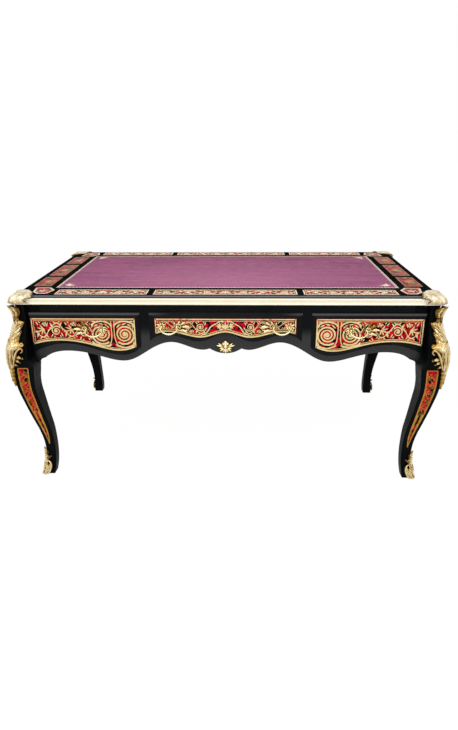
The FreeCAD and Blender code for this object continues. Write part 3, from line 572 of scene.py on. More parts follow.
class Palette:
    """All finishes of the table, built once."""

    def __init__(self) -> None:
        """Build every material."""
        fx = Effects()
        self.lacquer = LacquerFinish("black_lacquer", fx).material()
        # The board gets a painted highlight line along its stepped edge.
        self.board = PaintedSheenLacquer(
            "board_lacquer_painted_highlight", fx, coat_low=0.0, coat_high=0.02, specular=0.0, painted_sheen="7c8086",
            rise=(0.7895, 0.792), fall=(0.7985, 0.7955)).material()
        # The drawer fronts, sham fronts and end panels get a painted highlight band at the height of the
        # drawers' upper bevels, left off the middle.
        self.polish = PaintedSheenLacquer(
            "polished_lacquer", fx, coat_low=0.07, coat_high=0.10, painted_sheen="555556",
            rise=(0.7115, 0.7160), fall=(0.7225, 0.7200), inward=(0.20, 0.34)).material()
        # The stiles and aprons get a painted sheen, a lighter grey on their lower parts.
        self.stile = PaintedSheenLacquer("painted_sheen_lacquer", fx).material()
        # The legs get a painted sheen on their inner sides just below the aprons.
        self.leg = PaintedSheenLacquer(
            "leg_lacquer", fx, dark="070808", light="0d0e10", coat_low=0.0, coat_high=0.015,
            rise=(0.50, 0.55), inward=(0.782, 0.748)).material()
        self.gilt = MetalFinish("gilt_bronze", fx).material()
        self.pale_gilt = MetalFinish("pale_gilt", fx, "8f6a2a", "e2cc92", "fff6dd").material()
        self.cream_gilt = MetalFinish(
            "cream_gilt", fx, "6a5026", "cbb78c", "efe5cd", 0.42, 0.58, metallic=0.6).material()
        self.brass = MetalFinish(
            "polished_brass", fx, "f0e2ba", "f8efd4", "fffaea", 0.34, 0.38, by_relief=False, metallic=0.22,
            scratches=0.0, clouds=0.03).material()
        self.inlay = MetalFinish(
            "inlaid_brass", fx, "a37d38", "dcc17c", "f3e4b4", 0.25, 0.40, by_relief=False).material()
        self.old_inlay = MetalFinish(
            "old_inlaid_brass", fx, "5f4010", "a2782b", "c6a350", 0.3, 0.45, by_relief=False).material()
        self.light_inlay = MetalFinish(
            "light_inlaid_brass", fx, "c2a468", "f0dfb2", "fff6da", 0.3, 0.45, by_relief=False,
            metallic=0.6).material()
        self.tooling = MetalFinish(
            "gold_tooling", fx, "c9b183", "ead9b0", "f7ecd2", 0.35, 0.5, by_relief=False,
            metallic=0.4).material()
        self.shell = ShellFinish("red_shell", fx).material()
        self.leather = LeatherFinish("plum_leather", fx).material()
        self.oak = OakFinish("plain_oak", fx).material()
        self.steel = SteelFinish("turned_steel", fx).material()


# Grounds: surfaces that flat ornament is laid on


class Ground:
    """A surface that takes a drawing made flat in millimetres."""

    def at(self, p: float, q: float, lift: float) -> Vector:
        """The point at p across and q up, lifted off the surface."""
        raise NotImplementedError


@dataclass
class PlaneGround(Ground):
    """A flat face: an origin in metres and the directions across, up and out."""

    origin: Vector
    across: Vector
    up: Vector
    out: Vector

    @classmethod
    def facing(cls, way: Way, level: float, turned: bool = False) -> "PlaneGround":
        """The plane that looks one way, at a level along that way in metres.

        Args:
            way: where it looks.
            level: its distance from the origin.
            turned: on the top, whether across runs to the back.

        Returns:
            The ground.
        """
        out = Vector(way.value)
        up = Vector((0, 0, 1))
        if way is Way.UP:
            up = Vector((-1, 0, 0)) if turned else Vector((0, 1, 0))
        return cls(out * level, up.cross(out), up, out)

    def at(self, p: float, q: float, lift: float) -> Vector:
        """The point on or over the plane."""
        return self.origin + (self.across * p + self.up * q + self.out * lift) * MM

    def flat(self, point: Vector) -> Pair:
        """A point's place on the plane, in millimetres."""
        return (point.dot(self.across) / MM, point.dot(self.up) / MM)


@dataclass
class Corner:
    """One corner of the top: which side and end, and the place of the corner in millimetres."""

    side: int
    end: int
    half_width: float
    half_depth: float

    @property
    def name(self) -> str:
        """The corner's part of a piece name."""
        return ("front" if self.end < 0 else "back") + ("_left" if self.side < 0 else "_right")

    def inward(self, across: float, along: float, height: float) -> Vector:
        """The point at offsets inward from the corner."""
        x = self.side * (self.half_width - across)
        y = self.end * (self.half_depth - along)
        return Vector((x, y, height)) * MM


class Face(Enum):
    """The two outer faces of a leg."""

    FRONT = "front"
    FLANK = "flank"


@dataclass
class LegShape:
    """The outer faces of a leg and the edges of its inlays, as tables over the height."""

    face: dict[Face, list[Pair]]
    inlay: dict[Face, list[Pair]]
    first: dict[Face, list[Pair]]
    last: dict[Face, list[Pair]]

    face_heights = range(2, 760, 4)
    inlay_heights = range(120, 520, 3)
    inlay_offsets = [half / 2 for half in range(-80, 220)]
    fewest_hits = 5

    @classmethod
    def measured(cls, corner: Corner, probes: Sequence[float] = (16, 24, 32, 40, 50, 60),
                 outside: float = 120.0, ray: float = 0.25, step: float = 0.4) -> "LegShape":
        """Measure one packed leg; the others mirror it.

        Args:
            corner: the leg's corner.
            probes: the offsets along a face at which its depth is tried, in millimetres.
            outside: how far outside the corner a ray starts, in millimetres.
            ray: the length of a ray, in metres.
            step: how much deeper than the inlay's face a point off its edge lies, in millimetres.

        Returns:
            The tables.
        """
        graph = bpy.context.evaluated_depsgraph_get()
        leg = BVHTree.FromObject(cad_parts["leg_" + corner.name], graph)
        strips = BVHTree.FromObject(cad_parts["leg_marquetry"], graph)
        shape = cls({}, {}, {}, {})

        def depth(tree: BVHTree, face: Face, along: float, height: float) -> Optional[float]:
            """How far inside the corner a ray from outside meets a face, if it does."""
            if face is Face.FRONT:
                start, way = corner.inward(along, -outside, height), Vector((0, -corner.end, 0))
                hit = tree.ray_cast(start, way, ray)[0]
                return None if hit is None else corner.half_depth - abs(hit.y) / MM
            start, way = corner.inward(-outside, along, height), Vector((-corner.side, 0, 0))
            hit = tree.ray_cast(start, way, ray)[0]
            return None if hit is None else corner.half_width - abs(hit.x) / MM

        for face in Face:
            shape.face[face] = []
            for z in cls.face_heights:
                deep = [depth(leg, face, along, z) for along in probes]
                shape.face[face].append((z, min(value for value in deep if value is not None)))
            shape.inlay[face], shape.first[face], shape.last[face] = [], [], []
            for z in cls.inlay_heights:
                hits = [(along, depth(strips, face, along, z)) for along in cls.inlay_offsets]
                hits = [hit for hit in hits if hit[1] is not None]
                near = min((deep for _, deep in hits), default=0.0)
                flat = [along for along, deep in hits if deep < near + step]
                if len(flat) >= cls.fewest_hits:
                    shape.inlay[face].append((z, near))
                    shape.first[face].append((z, flat[0]))
                    shape.last[face].append((z, flat[-1]))
        return shape


@dataclass
class ArrisGround(Ground):
    """The outer arris of a leg, rounded over: across is measured round it, up is the height."""

    corner: Corner
    shape: LegShape
    rounding: float = 9.0

    def at(self, p: float, q: float, lift: float) -> Vector:
        """The point on or over the two outer faces of the leg."""
        s = math.hypot(p, self.rounding)
        du = (1 + p / s) / 2
        dv = (p / s - 1) / 2
        size = math.hypot(du, dv)
        u = looked_up(q, self.shape.face[Face.FLANK]) + (p + s) / 2 - self.rounding / 2 + lift * dv / size
        v = looked_up(q, self.shape.face[Face.FRONT]) + (s - p) / 2 - self.rounding / 2 - lift * du / size
        return self.corner.inward(u, v, q)


@dataclass
class LegFaceGround(Ground):
    """The inlaid face of a leg: across is the offset from the corner, up is the height."""

    corner: Corner
    shape: LegShape
    face: Face

    def at(self, p: float, q: float, lift: float) -> Vector:
        """The point on or over the inlay."""
        deep = looked_up(q, self.shape.inlay[self.face]) - lift
        if self.face is Face.FLANK:
            return self.corner.inward(deep, p, q)
        return self.corner.inward(p, deep, q)


# Panels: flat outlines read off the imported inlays

FACING_COSINE = 0.99
LEVEL_PLAY = 0.0004
POINT_PLAY = 0.00005


@dataclass
class Panel:
    """One flat inlaid panel: its plane and its outline in millimetres."""

    ground: PlaneGround
    outline: list[Pair]

    @property
    def span(self) -> Pair:
        """The least and greatest place across."""
        return (min(p for p, _ in self.outline), max(p for p, _ in self.outline))

    def heights(self, p: float) -> Pair:
        """The lower and upper edge at a place across."""
        crossings = []
        for (p0, q0), (p1, q1) in zip(self.outline, self.outline[1:] + self.outline[:1]):
            if min(p0, p1) <= p <= max(p0, p1) and p0 != p1:
                crossings.append(q0 + (q1 - q0) * (p - p0) / (p1 - p0))
        if not crossings:
            values = [q for _, q in self.outline]
            return (min(values), max(values))
        return (min(crossings), max(crossings))

    def inset(self, distance: float, sharpest: float = 0.35) -> list[Pair]:
        """The outline moved inwards, with its sharpest corners held back."""
        points = self.outline
        area = sum(a[0] * b[1] - b[0] * a[1] for a, b in zip(points, points[1:] + points[:1]))
        sense = 1 if area > 0 else -1
        out = []
        for i, (p, q) in enumerate(points):
            before = Vector((p - points[i - 1][0], q - points[i - 1][1])).normalized()
            following = points[(i + 1) % len(points)]
            after = Vector((following[0] - p, following[1] - q)).normalized()
            na = Vector((-before.y, before.x)) * sense
            nb = Vector((-after.y, after.x)) * sense
            move = (na + nb) * (distance / max(1 + na.dot(nb), sharpest))
            out.append((p + move.x, q + move.y))
        return out


def panels_of(node: str, way: Way) -> list[Panel]:
    """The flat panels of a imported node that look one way.

    Args:
        node: the node's name.
        way: where the panels look.

    Returns:
        A panel for each closed outline.
    """
    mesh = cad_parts[node].data
    out = Vector(way.value)
    level = max(v.co.dot(out) for v in mesh.vertices)
    edges: dict[tuple, int] = {}
    spots: dict[tuple, Vector] = {}
    for face in mesh.polygons:
        if face.normal.dot(out) < FACING_COSINE or abs(face.center.dot(out) - level) > LEVEL_PLAY:
            continue
        keys = []
        for index in face.vertices:
            co = mesh.vertices[index].co
            key = tuple(round(c / POINT_PLAY) for c in co)
            spots[key] = co
            keys.append(key)
        for a, b in zip(keys, keys[1:] + keys[:1]):
            if (b, a) in edges:
                del edges[(b, a)]
            else:
                edges[(a, b)] = 1
    following = {a: b for a, b in edges}
    panels = []
    while following:
        start = next(iter(following))
        loop = [start]
        step = following.pop(start)
        while step != start and step in following:
            loop.append(step)
            step = following.pop(step)
        points = [spots[key] for key in loop]
        wide = max(p.x for p in points) - min(p.x for p in points)
        deep = max(p.y for p in points) - min(p.y for p in points)
        ground = PlaneGround.facing(way, level, turned=way is Way.UP and deep > wide)
        panels.append(Panel(ground, thinned([ground.flat(p) for p in points])))
    panels.sort(key=lambda panel: panel.span[0] - panel.span[1])
    return panels


def thinned(points: list[Pair], least: float = 2.5) -> list[Pair]:
    """An outline without points that crowd each other."""
    kept = [points[0]]
    for point in points[1:]:
        if math.dist(point, kept[-1]) > least:
            kept.append(point)
    if math.dist(kept[0], kept[-1]) < least:
        kept.pop()
    return kept


# Ornament


class Ornament:
    """Strokes and stamped leaves, drawn flat in millimetres and then laid on a ground."""

    turn_points = 14
    frond_points = 7
    bead = (-0.96, -0.7, -0.3, 0.3, 0.7, 0.96)
    # The relief value that sets a casting's tone grows where a face turns out from the ground and where a
    # point stands high: painted highlight and shade, with patina in the hollows.
    relief_least = 0.06
    relief_facing = 0.64
    relief_height = 0.30

    def __init__(self, roundness: int = 2, flatten: float = 1.0) -> None:
        """Start an empty drawing.

        Args:
            roundness: how round the strokes are; 0 gives four sides.
            flatten: how high a stroke stands for its width.
        """
        self.roundness = roundness
        self.flatten = flatten
        self.strokes: list[tuple[list[StrokePoint], bool]] = []
        self.stamps: list[tuple[Mesh, Matrix]] = []

    def stroke(self, points: Sequence[Sequence[float]], closed: bool = False) -> None:
        """Add a line of points (across, up, lift, radius)."""
        self.strokes.append(([tuple(p) for p in points], closed))

    def smooth(self, points: Sequence[Sequence[float]], per_span: int = 5) -> None:
        """Add a smooth line through a few points (across, up, lift, radius)."""
        self.stroke(curve_through(points, per_span))

    def line(self, outline: Sequence[Pair], radius: float) -> None:
        """Add a closed line of one width."""
        self.stroke([(p, q, 0.0, radius) for p, q in outline], True)

    def dot(self, p: float, q: float, radius: float, lift: float = 0.0) -> None:
        """Add a round bead."""
        self.stroke([(p + radius * s, q, lift, radius * math.sqrt(1 - s * s)) for s in self.bead])

    def volute(self, centre: Pair, radius: float, start: float, turns: float, thick: Pair, lift: float = 0.0,
               core: float = 0.16) -> list[StrokePoint]:
        """Points of a spiral, from its outside in.

        Args:
            centre: the middle of the spiral.
            radius: its outer radius.
            start: the angle of its outer end, in degrees.
            turns: how far it winds; negative winds clockwise.
            thick: the stroke's radius at the outside and at the core.
            lift: how high it stands.
            core: the inner radius as a share of the outer one.

        Returns:
            The points.
        """
        count = max(int(abs(turns) * self.turn_points), 4)
        points = []
        for i in range(count + 1):
            t = i / count
            angle = math.radians(start) + 2 * math.pi * turns * t
            r = radius * (1 - (1 - core) * t ** 0.85)
            points.append((centre[0] + r * math.cos(angle), centre[1] + r * math.sin(angle), lift,
                           thick[0] + (thick[1] - thick[0]) * t))
        return points

    def curl(self, centre: Pair, radius: float, start: float, turns: float, thick: Pair) -> None:
        """Add a spiral with a bead at its core."""
        self.stroke(self.volute(centre, radius, start, turns, thick))
        self.dot(centre[0], centre[1], max(thick[1] * 1.5, radius * 0.2))

    def frond(self, base: Pair, angle: float, length: float, width: float, bend: float = 0.0) -> None:
        """Add a tapered, bent leaf as one stroke.

        Args:
            base: where it grows from.
            angle: where it points, in degrees.
            length: its length.
            width: its greatest half width.
            bend: how many degrees it turns by its tip.
        """
        p, q = base
        points = []
        count = self.frond_points
        for i in range(count + 1):
            t = i / count
            points.append((p, q, 0.0, width * (0.16 + 0.84 * math.sin(math.pi * min(t + 0.12, 1.0)) ** 0.9)))
            heading = math.radians(angle + bend * t)
            p += length / count * math.cos(heading)
            q += length / count * math.sin(heading)
        self.stroke(points)

    def stamp(self, leaf: Mesh, base: Pair, angle: float, length: float, width: float, height: float,
              lift: float = 0.0, tilt: float = 0.0) -> None:
        """Stamp a modelled leaf.

        Args:
            leaf: the leaf's mesh, of unit length along its first axis.
            base: where it grows from.
            angle: where it points, in degrees.
            length: its length.
            width: its full width.
            height: its relief.
            lift: how high its base stands.
            tilt: how many degrees its tip rises off the ground.
        """
        matrix = (Matrix.Translation((base[0], base[1], lift))
                  @ Matrix.Rotation(math.radians(angle), 4, "Z")
                  @ Matrix.Rotation(-math.radians(tilt), 4, "Y")
                  @ Matrix.Diagonal((length, width, height, 1)))
        self.stamps.append((leaf, matrix))

    def stamped(self, leaf: Mesh, rows: Sequence[tuple]) -> None:
        """Stamp one leaf several times; each row holds the other values of a stamp."""
        for row in rows:
            self.stamp(leaf, *row)

    def both(self, draw: Callable[["Ornament"], None]) -> None:
        """Draw something and its mirror image about the middle line."""
        half = Ornament(self.roundness, self.flatten)
        draw(half)
        flip = Matrix.Diagonal((-1, 1, 1, 1))
        self.strokes += half.strokes
        self.strokes += [([(-p, q, lift, r) for p, q, lift, r in points], closed)
                         for points, closed in half.strokes]
        self.stamps += half.stamps
        self.stamps += [(mesh, flip @ matrix) for mesh, matrix in half.stamps]

    def moved(self, p: float, q: float, mirrored: bool = False) -> "Ornament":
        """A copy at another place, mirrored across if asked."""
        copy = Ornament(self.roundness, self.flatten)
        sign = -1 if mirrored else 1
        copy.strokes = [([(p + sign * a, q + b, lift, r) for a, b, lift, r in points], closed)
                        for points, closed in self.strokes]
        shift = Matrix.Translation((p, q, 0)) @ Matrix.Diagonal((sign, 1, 1, 1))
        copy.stamps = [(mesh, shift @ matrix) for mesh, matrix in self.stamps]
        return copy

    def take(self, other: "Ornament") -> None:
        """Add another drawing to this one."""
        self.strokes += other.strokes
        self.stamps += other.stamps

    def cast(self, name: str, ground: Ground, sink: float = 0.0) -> Object:
        """Make the drawing a mesh on a ground.

        Args:
            name: the piece's name.
            ground: what it is laid on.
            sink: how deep its middle plane lies under the surface, in millimetres.

        Returns:
            The piece.
        """
        curve = bpy.data.curves.new(name, "CURVE")
        curve.dimensions = "3D"
        curve.twist_mode = "Z_UP"
        curve.bevel_depth = 1.0
        curve.bevel_resolution = self.roundness
        curve.use_fill_caps = True
        for points, closed in self.strokes:
            spline = curve.splines.new("POLY")
            spline.points.add(len(points) - 1)
            spline.points.foreach_set("co", [c for p in points for c in (p[0], p[1], p[2], 1.0)])
            spline.points.foreach_set("radius", [p[3] for p in points])
            spline.use_cyclic_u = closed
        only(linked(name, curve))
        bpy.ops.object.convert(target="MESH")
        obj = bpy.context.view_layer.objects.active
        shape = bmesh.new()
        shape.from_mesh(obj.data)
        for vertex in shape.verts:
            vertex.co.z *= self.flatten
        for leaf, matrix in self.stamps:
            copy = leaf.copy()
            copy.transform(matrix)
            shape.from_mesh(copy)
            bpy.data.meshes.remove(copy)
        bmesh.ops.recalc_face_normals(shape, faces=shape.faces)
        shape.normal_update()
        top = max((v.co.z for v in shape.verts), default=1.0)
        # Painted highlight and shade: faces turned out from the ground and high points get a higher relief
        # value, so a paler metal tone.
        relief = []
        for vertex in shape.verts:
            share = max(vertex.co.z, 0.0) / max(top, 0.1)
            facing = max(vertex.normal.z, 0.0) ** 3
            level = self.relief_least + self.relief_facing * facing + self.relief_height * share
            relief.append(clamped(level))
        for vertex in shape.verts:
            vertex.co = ground.at(vertex.co.x, vertex.co.y, vertex.co.z - sink)
        shape.to_mesh(obj.data)
        shape.free()
        attribute = obj.data.attributes.new("relief", "FLOAT", "POINT")
        attribute.data.foreach_set("value", relief)
        settle(obj, 60)
        return obj


class LeafMaker:
    """Models the leaves and plates that the castings are put together from."""

    def sheet(self, name: str, rows: int, columns: int, shape: Shape, thickness: float) -> Mesh:
        """A sheet shaped from a grid, with a thickness.

        Args:
            name: the mesh's name.
            rows: faces along it.
            columns: faces across it.
            shape: gives the point for shares along (0 to 1) and across (-1 to 1).
            thickness: the sheet's thickness.

        Returns:
            The mesh.
        """
        bpy.ops.object.select_all(action="DESELECT")
        bpy.ops.mesh.primitive_grid_add(x_subdivisions=rows, y_subdivisions=columns, size=2)
        obj = bpy.context.active_object
        for vertex in obj.data.vertices:
            vertex.co = shape((vertex.co.x + 1) / 2, vertex.co.y)
        apply_modifier(obj, "SOLIDIFY", thickness=thickness, offset=-1.0, use_even_offset=False)
        mesh = obj.data
        mesh.name = name
        bpy.data.objects.remove(obj)
        return mesh

    def acanthus(self) -> Mesh:
        """A lobed leaf of unit length, half a unit high at most, curling up at its tip."""
        def shape(t: float, s: float) -> Triple:
            """A point of the leaf at shares along and across."""
            lobes = 0.80 + 0.20 * abs(math.cos(3.5 * math.pi * t))
            outline = 0.10 + 0.90 * math.sin(math.pi * min(t ** 0.8, 1.0)) ** 0.75
            half = 0.5 * outline * lobes * (1 - 0.9 * t ** 8)
            veins = 0.10 * math.cos(7 * math.pi * t + 2.2 * abs(s)) * abs(s)
            vein = -0.16 * math.exp(-(s / 0.13) ** 2) * (1 - t)
            crown = 0.75 * math.sin(math.pi * min(t + 0.1, 1.0)) * (1 - s * s) + 0.55 * t ** 3
            return (t, half * s, 0.25 + crown + veins + vein)

        return self.sheet("acanthus_leaf", 22, 10, shape, 0.35)

    def flute(self) -> Mesh:
        """A plain pointed leaf of unit length with a ridge."""
        def shape(t: float, s: float) -> Triple:
            """A point of the leaf at shares along and across."""
            half = 0.5 * math.sin(math.pi * (0.12 + 0.86 * t)) ** 0.7
            ridge = 0.85 - 0.35 * abs(s) - 0.3 * s * s
            return (t, half * s, 0.2 + ridge * math.sin(math.pi * (0.15 + 0.75 * t)))

        return self.sheet("pointed_leaf", 10, 6, shape, 0.3)


class Marquetry:
    """Flat scrollwork of a panel: brass lines with black ones between them on the red ground.

    A bay's leaves are rows of base, tip, width, bend in degrees and whether a black twin lies beside. Its
    tendrils are rows of root, turn off the heading, length, width and bend. A lyre's leaves are rows of base,
    tip and bend.
    """

    bay_leaves: Sequence[tuple] = (
        ((0.52, 0.30), (0.90, 0.84), 1.2, -20, True), ((0.60, 0.10), (1.02, 0.30), 1.1, 30, False),
        ((-0.52, 0.44), (-0.86, 0.90), 1.4, 24, False), ((-0.30, 0.86), (-0.62, 0.98), 0.9, 10, False),
        ((-0.66, -0.42), (-0.92, -0.92), 1.2, -30, True), ((-0.42, -0.72), (-0.58, -0.98), 1.1, 20, False),
        ((0.58, -0.58), (0.90, -0.94), 1.2, 30, True), ((0.26, -0.82), (0.46, -1.0), 1.1, -20, False),
        ((0.16, 0.78), (0.48, 0.96), 1.2, -30, False), ((-0.02, 0.10), (0.26, 0.02), 1.0, 40, False))
    black_tendrils: Sequence[tuple] = (
        ((-0.64, -0.02), 70, 0.46, 1.7, 40), ((0.74, -0.10), -60, 0.50, 1.7, -40),
        ((0.02, 0.56), 0, 0.50, 1.3, -30), ((-0.95, 0.55), 20, 0.40, 1.3, 40),
        ((0.05, -0.90), 180, 0.42, 1.2, -30))
    brass_tendrils: Sequence[tuple] = (
        ((0.80, 0.62), -100, 0.40, 0.8, -50), ((-0.84, -0.10), 100, 0.42, 0.8, -60))
    bay_fan: Sequence[float] = (0, 42, -42, 84, -84)
    lyre_lines: Sequence[tuple] = (
        ([(0.16, 1.0), (0.12, 0.5), (0.13, 0.0), (0.20, -0.5), (0.42, -0.86)], 0.6),
        ([(0.10, 0.62), (0.40, 0.86), (0.95, 1.0), (1.55, 0.92), (1.98, 0.70)], 1.0),
        ([(0.30, -0.80), (0.95, -1.0), (1.55, -0.92), (1.98, -0.70)], 1.0))
    lyre_leaves: Sequence[tuple] = (
        ((1.45, 0.92), (1.95, 0.98), -30), ((1.80, 0.80), (2.0, 0.50), 20), ((0.20, 0.78), (0.55, 0.98), 20))
    lyre_crown: Sequence[tuple] = (
        ((0.36, 0.52), (0.80, 0.80), -24), ((0.86, 0.74), (1.30, 0.82), -24),
        ((1.36, 0.76), (1.74, 0.56), -24))
    lyre_gaps: Sequence[Pair] = ((0.08, 0.2), (0.3, 0.42), (0.55, 0.75))
    thin_line = 0.36
    dash_step = 1.5
    dash_width = 0.30
    corner_sine = 0.8

    def __init__(self, proud: float = 0.10) -> None:
        """Start two empty drawings.

        Args:
            proud: how high a line stands for its half width.
        """
        self.brass = Ornament(0, proud)
        self.ebony = Ornament(0, proud * 0.8)

    def curl(self, centre: Pair, radius: float, start: float, turns: float, thick: float) -> None:
        """A brass spiral with a black one between its turns."""
        self.brass.curl(centre, radius, start, turns, (thick * 1.2, thick * 0.75))
        pitch = radius * 0.84 / abs(turns)
        if radius > 9:
            fine = (thick * 0.62, thick * 0.35)
            self.ebony.stroke(self.ebony.volute(centre, radius - pitch * 0.5, start, turns, fine, core=0.24))

    def leaf(self, base: Vector, tip: Vector, width: float, bend: float = 0.0, shade: bool = False) -> None:
        """A leaf between two points, with a black one beside it if asked.

        Args:
            base: where it grows from.
            tip: where it ends.
            width: its greatest half width.
            bend: how many degrees it turns.
            shade: whether it has a black twin.
        """
        way = tip - base
        angle = math.degrees(math.atan2(way.y, way.x)) - bend / 2
        self.brass.frond((base.x, base.y), angle, way.length, width, bend)
        if shade:
            side = Vector((-way.y, way.x)).normalized() * width * (1.7 if bend < 0 else -1.7)
            spot = base + side
            self.ebony.frond((spot.x, spot.y), angle, way.length * 0.8, width * 0.62, bend)

    def vine(self, axis: Axis, heading: float, length: float, bays: int,
             first: int = 1, fine: float = 0.060) -> None:
        """A running vine with a scroll in each bay.

        Args:
            axis: gives the middle (across, up) and the half width at a share of the length.
            heading: the direction it runs, in degrees.
            length: its length.
            bays: how many scrolls it has.
            first: the side of the first crest, 1 or -1.
            fine: half the width of a line, as a share of half the vine's width.
        """
        run = math.radians(heading)
        along = Vector((math.cos(run), math.sin(run)))
        over = Vector((-math.sin(run), math.cos(run)))
        stem = []
        for k in range(bays):
            sign = first if k % 2 == 0 else -first
            p, q, half = axis((k + 0.5) / bays)
            reach = length / bays / 2
            thick = min(half, reach * 1.2) * fine
            start = axis(k / bays)
            stem.append((start[0], start[1], 0.0, thick * 0.9))

            def at(x: float, y: float) -> Vector:
                """A point of the bay's box; y is 1 on the side of its crest."""
                return Vector((p, q)) + along * (x * reach) + over * (sign * y * half)

            crest = at(-0.08, 0.80)
            stem.append((crest.x, crest.y, 0.0, thick * 1.2))
            radius = min(half * 0.64, reach * 0.78)
            middle = at(0.05, -0.16)
            if k % 2 == 0:
                self.curl((middle.x, middle.y), radius, heading + sign * 160, -sign * 1.9, thick)
            else:
                self.fan(at(-0.20, -0.10), heading + sign * 25, radius * 1.5, self.bay_fan, thick * 1.3)
                spot = at(-0.35, -0.62)
                self.curl((spot.x, spot.y), radius * 0.42, heading, -sign * 1.4, thick * 0.8)
            for base, tip, wide, bend, shade in self.bay_leaves:
                self.leaf(at(*base), at(*tip), thick * wide, bend * sign, shade)
            for drawing, tendrils in ((self.ebony, self.black_tendrils), (self.brass, self.brass_tendrils)):
                for root, turn, grown, wide, bend in tendrils:
                    angle = heading + sign * turn
                    drawing.frond(tuple(at(*root)), angle, half * grown, thick * wide, bend * sign)
        finish = axis(1.0)
        stem.append((finish[0], finish[1], 0.0, thick * 0.8))
        self.brass.smooth(stem, 7)

    def lyre(self, middle: Pair, half: float, limits: Callable[[float], Pair]) -> None:
        """Two facing scrolls about a red spine.

        Args:
            middle: the middle of the field.
            half: half its height.
            limits: gives the least and greatest free height at a place across.
        """
        p, q = middle
        thick = half * 0.054
        radius = half * 0.78
        turns = 2.8

        def held(across: float, up: float) -> Vector:
            """A point in units of the radius across and the half height up, kept in the field."""
            low, high = limits(p + across * radius)
            return Vector((p + across * radius, min(max(q + up * half, low), high)))

        for sign in (-1, 1):
            centre = (p + sign * radius * 1.06, q)
            begin = 90 + sign * 140
            self.brass.curl(centre, radius, begin, sign * turns, (thick * 1.2, thick * 0.8))
            fine = (thick * 0.5, thick * 0.4)
            gap = self.ebony.volute(centre, radius * 0.83, begin, sign * turns, fine, core=0.24)
            for first, last in self.lyre_gaps:
                self.ebony.stroke(gap[int(first * len(gap)):int(last * len(gap))])
            for line, wide in self.lyre_lines:
                self.brass.smooth([(*held(sign * across, up), 0, thick * wide) for across, up in line], 5)
            for level, wide, leaves in ((-1, 1.0, self.lyre_leaves), (1, 1.0, self.lyre_leaves),
                                        (1, 0.9, self.lyre_crown)):
                for base, tip, bend in leaves:
                    ends = [held(sign * across, level * up) for across, up in (base, tip)]
                    self.leaf(*ends, thick * wide, level * sign * bend, True)

    def fan(self, root: Vector, heading: float, reach: float, angles: Sequence[float], width: float) -> None:
        """A fan of leaves about a heading, the middle one longest.

        Args:
            root: where the leaves grow from.
            heading: the direction of the middle leaf, in degrees.
            reach: the length of the middle leaf.
            angles: the leaves' angles off the heading, in degrees.
            width: half the greatest width of a leaf.
        """
        for angle in angles:
            a = math.radians(heading + angle)
            tip = root + Vector((math.cos(a), math.sin(a))) * reach * (1 - abs(angle) / 360)
            self.leaf(root, tip, width, angle * 0.4, angle != 0)
        self.brass.dot(root.x, root.y, width)

    def palmette(self, middle: Pair, half: float) -> None:
        """A fan of leaves over two scrolls."""
        p, q = middle
        thick = half * 0.085
        root = Vector((p, q - half * 0.34))
        self.fan(root, 90, half * 1.25, (0, 28, -28, 56, -56), thick * 1.7)
        for sign in (-1, 1):
            spot = (p + sign * half * 0.60, q - half * 0.52)
            self.curl(spot, half * 0.38, 90 + sign * 60, -sign * 1.5, thick)
            base = root + Vector((sign * half * 0.10, -half * 0.12))
            self.leaf(base, base + Vector((sign * half * 0.12, -half * 0.48)), thick * 1.1, sign * 20)

    def crest(self, middle: Pair, half: float, reach: float) -> None:
        """A palmette with a fan of leaves at each side, for a long low field.

        Args:
            middle: the middle of the field.
            half: half its height.
            reach: half its length.
        """
        p, q = middle
        self.fan(Vector((p, q - half * 0.7)), 90, half * 1.6, (0, 34, -34, 64, -64), half * 0.20)
        for sign in (-1, 1):
            heading = 0 if sign > 0 else 180
            self.fan(Vector((p + sign * reach * 0.40, q - half * 0.1)), heading, reach * 0.42,
                     (0, 40, -40, 78, -78), half * 0.17)
            for level, near, far, drop, end in ((1, 0.14, 0.34, 0.10, 0.72), (-1, 0.16, 0.40, 0.05, 0.70)):
                base = Vector((p + sign * reach * near, q + level * half * 0.75))
                tip = base + Vector((sign * reach * far, level * half * drop))
                self.leaf(base, tip, half * 0.13, -level * sign * 30, True)
                spot = (p + sign * reach * end, q + level * half * 0.6)
                self.ebony.frond(spot, level * (90 - sign * 70), reach * 0.2, half * 0.24)

    def edged(self, panel: Panel, border: float, inner: float, dash: float) -> None:
        """The border of a panel, a thin inner line, and black dashes between them.

        Args:
            panel: the panel.
            border: half the border's width.
            inner: how far in the thin line lies.
            dash: the length of a black dash.
        """
        self.brass.line(panel.inset(border), border)
        self.brass.line(panel.inset(inner), border * self.thin_line)
        loop = panel.inset((border * 2 + inner) / 2)
        run = 0.0
        current: list[StrokePoint] = []
        for (p0, q0), (p1, q1) in zip(loop, loop[1:] + loop[:1]):
            length = math.dist((p0, q0), (p1, q1))
            count = max(int(length / self.dash_step), 1)
            for i in range(count):
                t = i / count
                spot = (p0 + (p1 - p0) * t, q0 + (q1 - q0) * t, 0.0, (inner - border * 2) * self.dash_width)
                run += length / count
                if int(run / dash) % 2 == 0:
                    current.append(spot)
                    continue
                if len(current) > 2:
                    self.ebony.stroke([current[0], current[len(current) // 2], current[-1]])
                current = []
        rim = panel.outline
        turns = zip(rim[-1:] + rim, rim, rim[1:] + rim[:1], panel.inset(border * 1.3))
        for (p0, q0), (p1, q1), (p2, q2), (p3, q3) in turns:
            before = math.atan2(q1 - q0, p1 - p0)
            after = math.atan2(q2 - q1, p2 - p1)
            if abs(math.sin(after - before)) > self.corner_sine:
                self.ebony.dot(p3, q3, border * 0.75, border * 0.9)


